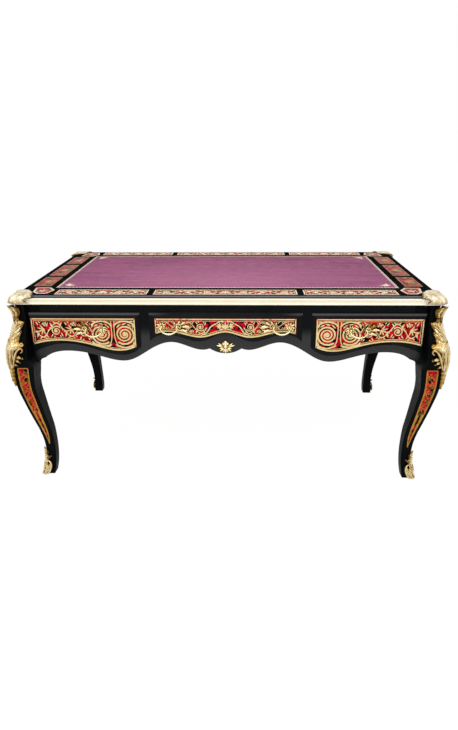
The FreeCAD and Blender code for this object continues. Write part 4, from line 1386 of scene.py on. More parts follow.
@dataclass
class InlayWork:
    """Brass and black lines laid in the red panels."""

    palette: Palette
    border: float = 3.1
    inner_gap: float = 10.5
    dash: float = 8.0
    vine_bays: int = 4
    side_split: float = 0.415
    side_end: float = 15.0
    side_margin: float = 13.0
    lyre_share: float = 0.216
    lyre_edge: float = 9.0
    lyre_margin: float = 12.0
    middle_room: float = 72.0
    middle_end: float = 13.0
    middle_margin: float = 11.0
    crest_reach: float = 46.0
    crest_margin: float = 10.0
    leg_rows: int = 60
    leg_bays: int = 6
    leg_border: float = 1.9
    leg_margin: float = 8.0
    leg_vine_foot: float = 150.0
    leg_vine_ends: float = 160.0

    def run(self, work: Marquetry, panel: Panel, ends: Pair, margin: float, bays: int,
            **options: float) -> None:
        """Draw a vine along the middle of a panel.

        Args:
            work: the drawing.
            panel: the panel.
            ends: where the vine starts and ends.
            margin: how far it stays from the panel's edges.
            bays: how many scrolls it has.
            options: other values of a vine.
        """
        start, finish = ends

        def middle(share: float) -> Triple:
            """The middle and the free half height at a share of the way."""
            p = start + (finish - start) * share
            low, high = panel.heights(p)
            return (p, (low + high) / 2, (high - low) / 2 - margin)

        work.vine(middle, 0 if finish > start else 180, abs(finish - start), bays, **options)

    def side_drawer(self, panel: Panel, outward: int) -> Marquetry:
        """The panel of a side drawer: a vine outside and a lyre inside."""
        work = Marquetry()
        work.edged(panel, self.border, self.inner_gap, self.dash)
        low, high = panel.span
        inner = high if outward < 0 else low
        split = inner + outward * (high - low) * self.side_split
        outer = (low if outward < 0 else high) - outward * self.side_end
        self.run(work, panel, (split, outer), self.side_margin, self.vine_bays, first=outward)
        centre = inner + outward * (high - low) * self.lyre_share
        bottom, top = panel.heights(centre)

        def limits(p: float) -> Pair:
            """The free heights inside the border."""
            least, most = panel.heights(p)
            return (least + self.lyre_edge, most - self.lyre_edge)

        work.lyre((centre, (bottom + top) / 2), (top - bottom) / 2 - self.lyre_margin, limits)
        return work

    def middle_drawer(self, panel: Panel) -> Marquetry:
        """The panel of the middle drawer: vines from a palmette to both ends."""
        work = Marquetry()
        work.edged(panel, self.border, self.inner_gap, self.dash)
        bottom, top = panel.heights(0)
        for sign in (-1, 1):
            ends = (sign * self.middle_room, sign * (panel.span[1] - self.middle_end))
            self.run(work, panel, ends, self.middle_margin, self.vine_bays, first=-sign)
            ogee = [(p, panel.heights(p)[0] + rise) for p, rise in ((96, 9), (74, 17))]
            ogee += [(58, bottom + 22), (42, top - 24), (22, top - 12), (8, top - 9)]
            work.brass.smooth([(sign * p, q, 0, 2.2) for p, q in ogee], 6)
            work.ebony.smooth([(sign * (p + 5), q + 3, 0, 1.4) for p, q in ogee[1:5]], 6)
        work.crest((0, (bottom + top) / 2), (top - bottom) / 2 - self.crest_margin, self.crest_reach)
        return work

    def strip(self, panel: Panel, border: float = 2.4, fine: float = 0.060, pace: float = 1.8) -> Marquetry:
        """A plain strip or case panel: two vines that run out from a palmette.

        Args:
            panel: the panel.
            border: half the width of its border.
            fine: half the width of a line, as a share of half the vine's width.
            pace: the length of a bay, as a share of half the vine's width.

        Returns:
            The drawing.
        """
        work = Marquetry()
        inner = border * 3.1
        work.edged(panel, border, inner, self.dash)
        low, high = panel.span
        middle = (low + high) / 2
        bottom, top = panel.heights(middle)
        half = (top - bottom) / 2 - inner - 1.5
        reach = (high - low) / 2 - inner - 2
        room = half * 1.15
        bays = max(round((reach - room) / (half * pace)), 1)
        for sign in (-1, 1):
            ends = (middle + sign * room, middle + sign * reach)
            self.run(work, panel, ends, inner + 1, bays, first=-sign, fine=fine)
        work.palmette((middle, (bottom + top) / 2), half)
        return work

    def kite(self, panel: Panel) -> Marquetry:
        """A small corner panel with one scroll."""
        work = Marquetry()
        work.edged(panel, 3.0, 8.4, self.dash * 0.7)
        p = sum(a for a, _ in panel.outline) / len(panel.outline)
        q = sum(b for _, b in panel.outline) / len(panel.outline)
        work.curl((p, q), 13, 40, 1.8, 1.7)
        for angle in range(0, 360, 60):
            a = math.radians(angle)
            spot = Vector((p, q)) + Vector((math.cos(a), math.sin(a))) * 14
            a = math.radians(angle + 30)
            work.leaf(spot, spot + Vector((math.cos(a), math.sin(a))) * 9, 2.0, 30)
        return work

    def leg_strip(self, shape: LegShape, face: Face) -> Marquetry:
        """The tapered strip of a leg: a border and a climbing vine."""
        work = Marquetry()
        first, last = shape.first[face], shape.last[face]
        low = first[0][0] + 3
        high = first[-1][0] - 0.5
        rows = [low + (high - low) * i / self.leg_rows for i in range(self.leg_rows + 1)]
        lined, beaded, studded = rows[28:-2], rows[2:27], rows[5:27:6]
        left = [(looked_up(z, first) + self.leg_border, z) for z in rows]
        right = [(looked_up(z, last) - self.leg_border, z) for z in rows]
        work.brass.line(left + right[::-1], self.leg_border)
        work.brass.dot((left[0][0] + right[0][0]) / 2, low - 1.0, 3.0)

        length = high - low - self.leg_vine_ends

        def axis(share: float) -> Triple:
            """The middle of the strip, more crowded towards its narrow foot."""
            z = low + self.leg_vine_foot + length * share ** 1.1
            a = looked_up(z, first)
            b = looked_up(z, last)
            return ((a + b) / 2, z, (b - a) / 2 - self.leg_margin)

        work.vine(axis, 90, length, self.leg_bays, fine=0.05)
        for rail, way in ((first, 1), (last, -1)):
            work.brass.stroke([(looked_up(z, rail) + way * 6.0, z, 0, 0.7) for z in lined])
            for z in beaded:
                wide = looked_up(z, last) - looked_up(z, first)
                edge = looked_up(z, rail)
                work.brass.dot(edge + way * 0.16 * wide, z, 0.13 * wide)
                work.brass.dot(edge + way * 0.27 * wide, z + 2.0 * way, 0.07 * wide)
            for z in studded:
                wide = looked_up(z, last) - looked_up(z, first)
                work.ebony.dot(looked_up(z, rail) + way * 0.2 * wide, z, 1.4, 0.5)
        return work

    def lay(self, work: Marquetry, ground: Ground, name: str) -> tuple[Object, Object]:
        """Cast the two drawings of a panel on its ground."""
        return work.brass.cast(name + "_brass", ground), work.ebony.cast(name + "_black", ground)

    def place(self, pairs: Sequence[tuple[Object, Object]], name: str, body: str,
              finish: Optional[Material] = None) -> None:
        """Join the panels of one part of the table, and dress and place them.

        Args:
            pairs: the brass and black pieces of each panel.
            name: the first part of the names.
            body: the body that they move with.
            finish: the brass's finish, if not the bright one.
        """
        brass = joined([pair[0] for pair in pairs], name + "_brass")
        place(brass, body, Slot.BRASS, finish or self.palette.inlay)
        black = joined([pair[1] for pair in pairs], name + "_black")
        place(black, body, Slot.LACQUER, self.palette.lacquer)


@dataclass
class TopDressing:
    """The table top: board, leather, tooling, inlays, brass edge and corner mounts."""

    palette: Palette
    inlays: InlayWork
    corners: list[Corner]
    leather_crown: float = 0.25
    tooling_inset: float = 9.0
    long_dashes: int = 96
    side_dashes: int = 42
    dash: Sequence[Pair] = ((-5.4, 1.2), (0.0, 2.2), (5.4, 1.2))
    corner_fronds: Sequence[tuple] = ((0, 30, 3.4, 0), (22, 34, 3.4, 0), (-22, 34, 3.4, 0), (42, 42, 3.4, 0),
                                      (-42, 42, 3.4, 0), (70, 26, 2.0, 21), (-70, 26, 2.0, -21))
    leather_play: float = 0.0003
    leather_grid: tuple[int, int] = (72, 34)
    leather_rim: float = 0.02
    corner_inset: float = 34.0
    long_strip: Triple = (3.2, 0.10, 3.0)
    side_strip: Triple = (1.5, 0.034, 2.4)
    mount_centre: float = 64.0
    mount_round: float = 16.0
    mount_rim: float = 11.0
    mount_play: float = 1.0
    mount_fall: float = 4.0
    chased_out: float = 2.0
    chased_up: float = 1.6
    dome_rows: int = 40
    dome_columns: int = 64
    mount_spreads: list[Pair] = field(default_factory=lambda: [
        (0.0, 70), (0.5, 66), (0.68, 60), (0.80, 44), (0.87, 38), (0.94, 44), (1.0, 51)])

    def __post_init__(self) -> None:
        """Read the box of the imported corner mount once."""
        self.mount_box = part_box("corner_mount_" + self.corners[0].name)

    def build(self) -> None:
        """Make and dress all pieces of the top."""
        dress(self.palette.board, "top_board")
        dress(self.palette.shell, "top_marquetry")
        dress(self.palette.brass, *["brass_edge_" + end for end in ("front", "back", "left", "right")])
        self.leather()
        self.tooling()
        self.strips()
        dome, relief = self.mount_dome()
        for corner in self.corners:
            self.corner_mount(corner, dome, relief)

    def leather(self) -> None:
        """The leather skin, a thin sheet that lies in its recess."""
        low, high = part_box("leather_inset")
        bpy.ops.object.select_all(action="DESELECT")
        across, along = self.leather_grid
        bpy.ops.mesh.primitive_grid_add(x_subdivisions=across, y_subdivisions=along, size=2)
        skin = bpy.context.active_object
        middle = (low + high) / 2
        half = (high - low) / 2
        reach = half - Vector((self.leather_play, self.leather_play, 0))
        for vertex in skin.data.vertices:
            u, v = vertex.co.x, vertex.co.y
            rim = min(1 - abs(u), (1 - abs(v)) * half.y / half.x)
            wave = math.sin(9 * u + 4 * v) * math.sin(7 * v - 3 * u)
            swell = self.leather_crown * min(rim / self.leather_rim, 1.0) * (0.8 + 0.2 * wave)
            vertex.co = (middle.x + u * reach.x, middle.y + v * reach.y, high.z + swell * MM)
        apply_modifier(skin, "SOLIDIFY", thickness=(high.z - low.z) * 0.9, offset=-1.0)
        skin.name = "leather_skin"
        settle(skin, 40)
        place(skin, "frame", Slot.LEATHER, self.palette.leather, "leather_inset")

    def tooling(self) -> None:
        """Gold lines and corner pieces pressed into the rim of the leather."""
        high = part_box("leather_inset")[1]
        ground = PlaneGround.facing(Way.UP, high.z)
        half_x, half_y = high.x / MM, high.y / MM
        drawing = Ornament(0, 0.14)
        for inset, radius in ((1.6, 1.5), (self.tooling_inset, 1.2)):
            x, y = half_x - inset, half_y - inset
            drawing.line([(-x, -y), (x, -y), (x, y), (-x, y)], radius)
        x, y = half_x - self.tooling_inset / 2 - 0.8, half_y - self.tooling_inset / 2 - 0.8
        for sign in (-1, 1):
            for i in range(self.long_dashes):
                p = -x + 2 * x * (i + 0.5) / self.long_dashes
                drawing.stroke([(p + shift, sign * y, 0, radius) for shift, radius in self.dash])
            for i in range(self.side_dashes):
                q = -y + 2 * y * (i + 0.5) / self.side_dashes
                drawing.stroke([(sign * x, q + shift, 0, radius) for shift, radius in self.dash])
            for other in (-1, 1):
                base = (sign * (half_x - self.corner_inset), other * (half_y - self.corner_inset))
                inward = math.degrees(math.atan2(-other, -sign))
                for turn, reach, wide, bend in self.corner_fronds:
                    drawing.frond(base, inward + turn, reach, wide, bend)
                drawing.dot(base[0], base[1], 3.0)
        piece = drawing.cast("leather_tooling", ground, -0.25)
        place(piece, "frame", Slot.BRASS, self.palette.tooling)

    def strips(self) -> None:
        """Brass work of the strips and corner pieces in the board."""
        long_pairs, side_pairs = [], []
        for panel in panels_of("top_marquetry", Way.UP):
            long = panel.ground.up.y > 0.5
            kite = len(panel.outline) > 4
            sizes = self.long_strip if long else self.side_strip
            work = self.inlays.kite(panel) if kite else self.inlays.strip(panel, *sizes)
            pairs = long_pairs if long or kite else side_pairs
            pairs.append(self.inlays.lay(work, panel.ground, "strip"))
        self.inlays.place(long_pairs, "top_strips", "frame", self.palette.light_inlay)
        self.inlays.place(side_pairs, "top_side_strips", "frame", self.palette.old_inlay)

    def mount_chasing(self, t: float, s: float) -> float:
        """How high, from 0 to 1, the shellwork of a corner mount stands at shares out and round."""
        bend = 0.5 * math.sin(5 * t + 2 * s)
        broad = abs(noise.noise(Vector((5.2 * s + bend, 5.0 * t, 3.7))))
        fine = abs(noise.noise(Vector((11 * s, 10 * t, 8.1))))
        return min(2.4 * (broad + 0.5 * fine), 1.0)

    def mount_shade_and_rim(self, t: float, s: float) -> float:
        """How bright a corner mount is: darker at its ends, a painted shade where its scrolls turn away, and
        darker along its rim.
        """
        return (1 - 0.85 * clamped((abs(s) - 0.86) / 0.10)) * (1 - 0.45 * clamped((t - 0.90) / 0.06))

    def mount_point(self, t: float, s: float) -> Vector:
        """A point of a corner mount's dome.

        Args:
            t: the share of the way out from its heart.
            s: the share of the way round, -1 to 1.

        Returns:
            Offsets inward from the corner, and the height, in millimetres.
        """
        low, high = self.mount_box
        rim, crown = low.z / MM + self.mount_rim, high.z / MM
        outside = max(abs(low.x), abs(high.x)) / MM
        side = self.mount_centre + outside - self.corners[0].half_width - self.mount_play
        turn = s * looked_up(t, self.mount_spreads)
        a = math.radians(abs(turn))
        inner = (side - self.mount_round) * math.sqrt(2)
        if abs(turn) < 45 - math.degrees(math.atan2(side - self.mount_round, side)):
            reach = inner * math.cos(a) + math.sqrt(self.mount_round ** 2 - (inner * math.sin(a)) ** 2)
        else:
            reach = side / math.cos(math.radians(45) - a)
        share = 0.10 + 0.90 * math.sin(t * math.pi / 2)
        chased = self.mount_chasing(t, s)
        steep = clamped((t - 0.55) / 0.35)
        out = reach * share - self.chased_out * (1 - chased) * steep
        height = rim + (crown - rim) * math.sqrt(max(1 - share ** 6, 0.0))
        height -= self.chased_up * (1 - chased) * (1 - steep)
        fall = max((abs(s) - 0.82) / 0.18, 1 - t / 0.14, 0.0) ** 2 * (1 - steep)
        heading = math.radians(225 + turn)
        x = self.mount_centre + out * math.cos(heading)
        y = self.mount_centre + out * math.sin(heading)
        return Vector((x, y, height - self.mount_fall * fall))

    def mount_dome(self) -> tuple[Mesh, list[float]]:
        """The chased dome that all corner mounts copy, and the relief of its points: paler where the chasing
        stands high, a painted highlight, and darker with the painted shade of its ends.
        """
        rows, columns = self.dome_rows, self.dome_columns
        mesh = LeafMaker().sheet("dome", rows, columns, self.mount_point, 3.5)
        shares = [(i / rows, 2 * j / columns - 1) for i in range(rows + 1) for j in range(columns + 1)]
        finder = KDTree(len(shares))
        for index, (t, s) in enumerate(shares):
            finder.insert(self.mount_point(t, s), index)
        finder.balance()
        found = [shares[finder.find(vertex.co)[1]] for vertex in mesh.vertices]
        return mesh, [(0.36 + 0.58 * self.mount_chasing(t, s)) * self.mount_shade_and_rim(t, s) for t, s in found]

    def corner_mount(self, corner: Corner, dome: Mesh, relief: list[float]) -> None:
        """A chased dome over a corner of the top, with rolled edges and a curl at each end.

        Args:
            corner: the corner.
            dome: the dome, in offsets inward from the corner.
            relief: the relief of its points.
        """
        mesh = dome.copy()
        for vertex in mesh.vertices:
            vertex.co = corner.inward(*vertex.co)
        mesh.attributes.new("relief", "FLOAT", "POINT").data.foreach_set("value", relief)
        cap = linked("cap", mesh)
        settle(cap, 60)
        ground = PlaneGround(corner.inward(0, 0, 0), Vector((-corner.side, 0, 0)),
                             Vector((0, -corner.end, 0)), Vector((0, 0, 1)))
        rolls = Ornament(2)
        rolls.stroke([(*self.mount_point(1.0, i / 20 - 1), 2.0) for i in range(41)])
        for sign in (-1, 1):
            rolls.stroke([(*self.mount_point(0.3 + 0.66 * i / 24, sign * 0.84), 1.5) for i in range(25)])
            for t, radius in ((0.66, 4.4), (0.74, 3.4), (0.99, 3.2)):
                p, q, height = self.mount_point(t, sign * 0.97)
                rolls.dot(p, q, radius, height)
        edges = rolls.cast("edges", ground)
        piece = joined([cap, edges], "corner_casting_" + corner.name)
        place(piece, "frame", Slot.GILT, self.palette.cream_gilt, "corner_mount_" + corner.name)


@dataclass
class LegDressing:
    """The four legs with their inlays, knee mounts and shoes."""

    palette: Palette
    inlays: InlayWork
    corners: list[Corner]
    shape: LegShape
    knee_widths: list[Pair] = field(default_factory=lambda: [
        (428, 2), (440, 6), (452, 9), (453, 6), (468, 11), (469, 7), (485, 13), (486, 9), (502, 15),
        (503, 10), (516, 17), (532, 21), (557, 24), (574, 28), (586, 36), (592, 46), (598, 55), (602, 53),
        (606, 58), (611, 49), (614, 36), (620, 32), (627, 33), (634, 30), (641, 32), (647, 30), (653, 28),
        (660, 25), (667, 27), (674, 31), (681, 31), (687, 34), (692, 36), (696, 22), (700, 12), (706, 9),
        (713, 11), (722, 16), (732, 20), (741, 21), (749, 18), (757, 11)])
    knee_lifts: list[Pair] = field(default_factory=lambda: [
        (428, 3), (462, 5.5), (510, 7), (532, 9), (562, 11), (590, 12), (625, 11), (650, 9.5), (690, 8),
        (706, 6.5), (720, 7.5), (733, 11), (746, 17), (757, 22)])
    shoe_widths: list[Pair] = field(default_factory=lambda: [
        (1, 22), (8, 26), (18, 25), (32, 20), (42, 10), (54, 9), (62, 14), (70, 13), (76, 17), (80, 9),
        (88, 12), (94, 7), (102, 9), (118, 3)])
    shoe_lifts: list[Pair] = field(default_factory=lambda: [
        (1, 6), (10, 4), (30, 3.2), (60, 3.6), (118, 3.5)])

    def build(self) -> None:
        """Make and dress all pieces of the legs."""
        leaves = LeafMaker()
        acanthus = leaves.acanthus()
        flute = leaves.flute()
        dress(self.palette.leg, *["leg_" + corner.name for corner in self.corners])
        dress(self.palette.shell, "leg_marquetry")
        strips = {face: self.inlays.leg_strip(self.shape, face) for face in Face}
        castings = ((self.knee(acanthus, flute), "knee_casting_", "knee_mount_"),
                    (self.shoe(acanthus, flute), "shoe_casting_", "shoe_"))
        for corner in self.corners:
            faces = [LegFaceGround(corner, self.shape, face) for face in Face]
            pairs = [self.inlays.lay(strips[ground.face], ground, "strip") for ground in faces]
            self.inlays.place(pairs, "leg_strips_" + corner.name, "frame", self.palette.old_inlay)
            arris = ArrisGround(corner, self.shape)
            for drawing, name, node in castings:
                piece = drawing.cast(name + corner.name, arris)
                place(piece, "frame", Slot.GILT, self.palette.gilt, node + corner.name)

    def knee_chasing(self, c: float, z: float) -> float:
        """The chasing of the knee mount, from husks, grooves and scales up to leaf ribs, rings and flutes."""
        row = z / 10
        across = (c / 10 + (0.5 if int(row) % 2 else 0.0)) % 1 - 0.5
        if z < 510:
            return 1.3 * abs(math.sin((z + 1.2 * abs(c)) * math.pi / 14))
        if z < 592:
            return 3.0 * abs(math.cos(math.pi * c / 11))
        if z < 642:
            return 2.8 * max(0.0, 1 - 4 * across * across) * (1 - 0.75 * (row % 1))
        if z < 700:
            return 3.0 * abs(math.sin((z - 1.3 * abs(c)) * math.pi / 12))
        if z < 720:
            return 2.2 * abs(math.sin(z * math.pi / 7))
        return 3.0 * abs(math.cos(math.pi * c / 11))

    def knee_plate(self) -> Mesh:
        """The chased plate of the knee mount."""
        low = self.knee_widths[0][0]
        high = self.knee_widths[-1][0]

        def shape(t: float, s: float) -> Triple:
            """A point of the plate at shares up and across."""
            z = low + (high - low) * t
            c = looked_up(z, self.knee_widths) * s
            body = looked_up(z, self.knee_lifts) * (1 - 0.86 * s * s)
            return (c, z, body + self.knee_chasing(c, z) * (1 - s ** 4))

        return LeafMaker().sheet("knee_plate", 200, 36, shape, 2.5)

    def knee(self, acanthus: Mesh, flute: Mesh) -> Ornament:
        """The knee mount, drawn across and up from the floor."""
        drawing = Ornament(2)
        drawing.stamps.append((self.knee_plate(), Matrix.Identity(4)))

        def half(draw: Ornament) -> None:
            """One half: the big scroll, its tendrils, the beaded ribbon and the leaves."""
            draw.smooth([(10, 511, 8, 2.2), (18, 523, 9, 3.6), (25, 547, 10, 5.2), (31, 571, 11, 6.0),
                         (40, 589, 11, 6.0), (50, 595, 10, 5.0), (57, 589, 9, 3.8), (56, 580, 8.5, 2.8),
                         (50, 577, 8.5, 2.0)], 5)
            draw.smooth([(3, 518, 11, 1.8), (9, 542, 13, 2.4), (15, 567, 14.5, 2.6), (24, 587, 14, 2.4),
                         (38, 597, 11, 2.0), (52, 601, 7, 1.4)], 5)
            draw.stamped(acanthus, [
                ((27, 558), -8, 27, 17, 6, 2, 5), ((23, 546), -24, 22, 14, 5, 2, 5),
                ((17, 528), -20, 16, 11, 5, 3, 5), ((14, 642), 40, 22, 15, 6, 5, 3),
                ((9, 646), 58, 38, 18, 6, 7, 3), ((4, 660), 78, 42, 15, 6, 8, 3),
                ((6, 708), 74, 40, 12, 5, 5, 16), ((8, 708), 62, 27, 10, 5, 4, 12)])
            draw.stamped(flute, [
                ((40, 598), 18, 19, 11, 6, 3, 4), ((31, 606), 20, 24, 11, 6, 3, 4),
                ((13, 670), 46, 27, 13, 6, 5, 4), ((5, 516), 258, 28, 10, 5, 4, 2)])
            ribbon = curve_through([(32, 650, 7), (25, 640, 10), (14, 630, 12), (0, 622, 14)], 5)
            for p, q, lift in ribbon[::2]:
                draw.dot(p, q, 3.6, lift)
            for shift in (-5.5, 5.5):
                draw.stroke([(p, q + shift, lift - 1, 1.6) for p, q, lift in ribbon])

        drawing.both(half)
        drawing.stamp(acanthus, (0, 640), 90, 60, 22, 6, 10, 0)
        drawing.stamp(acanthus, (0, 708), 90, 46, 16, 6, 6, 17)
        ring = ((-1, 3, 2.5, 2.2), (-0.5, 1, 6.5, 3.0), (0, 0, 8.5, 3.2), (0.5, 1, 6.5, 3.0),
                (1, 3, 2.5, 2.2))
        for level, wide in ((699, 13), (712, 11)):
            drawing.smooth([(wide * p, level + q, lift, radius) for p, q, lift, radius in ring], 4)
        drawing.smooth([(-21, 741, 7, 1.8), (-13, 752, 15, 2.6), (0, 758, 22, 3.0), (13, 752, 15, 2.6),
                        (21, 741, 7, 1.8)], 5)
        for level, reach, wide in ((524, 30, 15), (503, 26, 12), (484, 22, 10), (466, 19, 8)):
            drawing.stamp(flute, (0, level), 270, reach, wide, 6, 5, 0)
            drawing.dot(0, level, wide * 0.3, 7)
        return drawing

    def shoe(self, acanthus: Mesh, flute: Mesh) -> Ornament:
        """The shoe, drawn across and up from the floor."""
        drawing = Ornament(2)
        low = self.shoe_widths[0][0]
        high = self.shoe_widths[-1][0]

        def shape(t: float, s: float) -> Triple:
            """A point of the shoe's plate at shares up and across."""
            z = low + (high - low) * t
            c = looked_up(z, self.shoe_widths) * s
            ribs = 3.2 * abs(math.sin((z - 0.8 * abs(c)) * math.pi / 11)) - 1.0
            return (c, z, looked_up(z, self.shoe_lifts) * (1 - 0.8 * s * s) + ribs)

        drawing.stamps.append((LeafMaker().sheet("shoe_plate", 70, 18, shape, 2.0), Matrix.Identity(4)))

        def half(draw: Ornament) -> None:
            """One half: the rolled toe, the scroll round an opening and the leaves."""
            draw.smooth([(0, 4, 7, 3.4), (12, 4, 7, 3.8), (22, 9, 6.5, 4.6), (28, 22, 6, 5.2),
                         (29, 37, 6, 5.2), (25, 51, 5.5, 4.4), (17, 58, 5, 3.4), (11, 54, 5, 2.6),
                         (11, 48, 5, 2.0)], 4)
            draw.smooth([(18, 13, 9, 1.6), (23, 24, 10, 2.0), (24, 36, 10, 2.0), (20, 47, 9, 1.6)], 4)
            draw.stamped(acanthus, [((8, 66), 38, 21, 12, 5, 3, 4), ((6, 82), 66, 18, 9, 4, 2, 4)])
            draw.stamp(flute, (3, 92), 80, 20, 7, 4, 2, 2)

        drawing.both(half)
        drawing.stamp(flute, (0, 88), 90, 30, 9, 5, 3, 0)
        drawing.stamped(acanthus, [((0, 50), 90, 42, 16, 5, 3, 0), ((0, 40), 270, 30, 13, 6, 4, 3)])
        drawing.dot(0, 44, 4.6, 5)
        return drawing


@dataclass
class CaseDressing:
    """The case between the legs: boards, raised panels, marquetry and the two gilt shells."""

    palette: Palette
    inlays: InlayWork
    panel_border: float = 3.0
    shell_beads: int = 12
    shell_leaves: list[tuple[Pair, float, float, float, float]] = field(default_factory=lambda: [
        ((5, 7), 58, 13, 10, 3), ((9, 2), 33, 24, 8, 1), ((9, 0), 14, 28, 8, 2), ((8, -4), -12, 18, 9, 1),
        ((6, -6), -36, 21, 10, 3), ((3, -8), -64, 17, 9, 4)])

    def build(self) -> None:
        """Make and dress all pieces of the case."""
        dress(self.palette.lacquer, "front_top_rail")
        dress(self.palette.stile, "front_stiles", "front_apron", "back_apron")
        dress(self.palette.stile, "end_apron_left", "end_apron_right")
        dress(self.palette.polish, "back_sham_fronts", "end_panels")
        dress(self.palette.oak, "drawer_dividers", "drawer_kickers", "drawer_runners", "top_fixing_blocks")
        dress(self.palette.steel, "top_fixing_screws")
        dress(self.palette.shell, "case_marquetry")
        for way in (Way.BACK, Way.LEFT, Way.RIGHT):
            pairs = []
            for panel in panels_of("case_marquetry", way):
                work = self.inlays.strip(panel, self.panel_border)
                pairs.append(self.inlays.lay(work, panel.ground, "panel"))
            self.inlays.place(pairs, "case_panels_" + way.name.lower(), "frame")
        self.shells()

    def shells(self) -> None:
        """The leaf clusters in the middle of the long aprons."""
        low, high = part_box("apron_shells")
        flute = LeafMaker().flute()
        height = (high.z - low.z) / MM
        middle = (high.z + low.z) / 2 / MM
        drawing = Ornament(2)

        def half(draw: Ornament) -> None:
            """One half of the leaves."""
            for base, turn, reach, wide, lift in self.shell_leaves:
                draw.stamp(flute, base, turn, reach, wide, 6, lift, 5)

        drawing.both(half)
        drawing.stamp(flute, (0, 4), 90, height / 2 - 2, 19, 7, 4, 4)
        drawing.stamp(flute, (0, -6), 270, height / 2 - 5, 13, 7, 3, 4)
        drawing.stroke([(0, 3 + 10 * s, 7, 8.5 * math.sqrt(max(1 - s * s, 0.02)))
                        for s in (-0.99, -0.8, -0.4, 0, 0.4, 0.8, 0.99)])
        for i in range(self.shell_beads):
            a = 2 * math.pi * i / self.shell_beads
            drawing.dot(10.5 * math.cos(a), 3 + 12.5 * math.sin(a), 1.7, 8)
        face = abs(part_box("front_apron")[0].y)
        for way in (Way.FRONT, Way.BACK):
            ground = PlaneGround.facing(way, face)
            piece = drawing.moved(0, middle).cast("apron_casting_" + way.name.lower(), ground)
            place(piece, "frame", Slot.GILT, self.palette.pale_gilt, "apron_shells")


@dataclass
class DrawerDressing:
    """The three drawers with their marquetry and pulls."""

    palette: Palette
    inlays: InlayWork
    bow_span: float = 60.0
    rosette_leaves: int = 10
    side_pull: Pair = (489.0, 657.0)
    middle_pull: Pair = (250.0, 669.0)

    def build(self) -> None:
        """Make and dress all pieces of the drawers."""
        leaves = LeafMaker()
        pull = self.pull(leaves.acanthus(), leaves.flute())
        for name, outward in (("left", -1), ("centre", 0), ("right", 1)):
            prefix = "drawer_" + name
            dress(self.palette.polish, prefix + "_front")
            dress(self.palette.shell, prefix + "_marquetry")
            dress(self.palette.oak, prefix + "_sides", prefix + "_back", prefix + "_bottom")
            dress(self.palette.steel, prefix + "_pull_bolts")
            panel = panels_of(prefix + "_marquetry", Way.FRONT)[0]
            work = self.inlays.side_drawer(panel, outward) if outward else self.inlays.middle_drawer(panel)
            self.inlays.place([self.inlays.lay(work, panel.ground, "panel")], prefix + "_scrolls", prefix)
            casting = Ornament(2)
            if outward:
                casting.take(pull.moved(outward * self.side_pull[0], self.side_pull[1], outward < 0))
            else:
                for sign in (-1, 1):
                    casting.take(pull.moved(sign * self.middle_pull[0], self.middle_pull[1], sign > 0))
            piece = casting.cast(prefix + "_pull_casting", panel.ground)
            place(piece, prefix, Slot.GILT, self.palette.pale_gilt, prefix + "_pull")

    def pull(self, acanthus: Mesh, flute: Mesh) -> Ornament:
        """One pull, drawn from its rosette: a hanging bow and a leafy scroll."""
        drawing = Ornament(2)
        span = self.bow_span
        for i in range(self.rosette_leaves):
            turn = 360 / self.rosette_leaves * i
            a = math.radians(turn)
            spot = (4 * math.cos(a), 5 * math.sin(a))
            drawing.stamp(flute, spot, turn, 12 + 3 * abs(math.sin(a)), 8, 5, 1, 8)
        arm = [(0, 0, 9, 3.4), (-3, -7, 13, 3.0), (3, -15, 20, 3.0), (16, -21, 25, 3.2)]
        other = [(span - p, q, lift, radius) for p, q, lift, radius in reversed(arm)]
        drawing.smooth(arm + [(span / 2, -23, 26, 3.8)] + other, 5)
        for p, q, radius, lift in ((0, 0, 6.5, 5), (span / 2, -23, 5.0, 26), (span / 2 - 8, -22.5, 4.0, 26),
                                   (span / 2 + 8, -22.5, 4.0, 26), (span, 0, 6.5, 5)):
            drawing.dot(p, q, radius, lift)
        scroll = drawing.volute((span + 8, 2), 12, 200, -1.3, (3.2, 2.2), 4)
        stem = [(span + 46, -13, 3, 1.8), (span + 34, -14, 4, 3.0), (span + 18, -16, 4, 3.6),
                (span - 1, -9, 4, 3.4), scroll[0]]
        drawing.stroke(curve_through(stem, 4)[:-1] + scroll)
        for base, turn, reach, wide in (((span + 4, 10), 62, 20, 12), ((span + 12, 8), 30, 28, 13),
                                        ((span + 18, 0), 6, 34, 14), ((span + 16, -10), -22, 28, 12),
                                        ((span - 6, 8), 108, 15, 10), ((span + 2, -12), -70, 14, 9)):
            drawing.stamp(acanthus, base, turn, reach, wide, 6, 2, 8)
        for turn in (150, 190, 230):
            a = math.radians(turn)
            drawing.stamp(acanthus, (10 * math.cos(a), 10 * math.sin(a)), turn, 13, 9, 5, 1, 8)
        return drawing


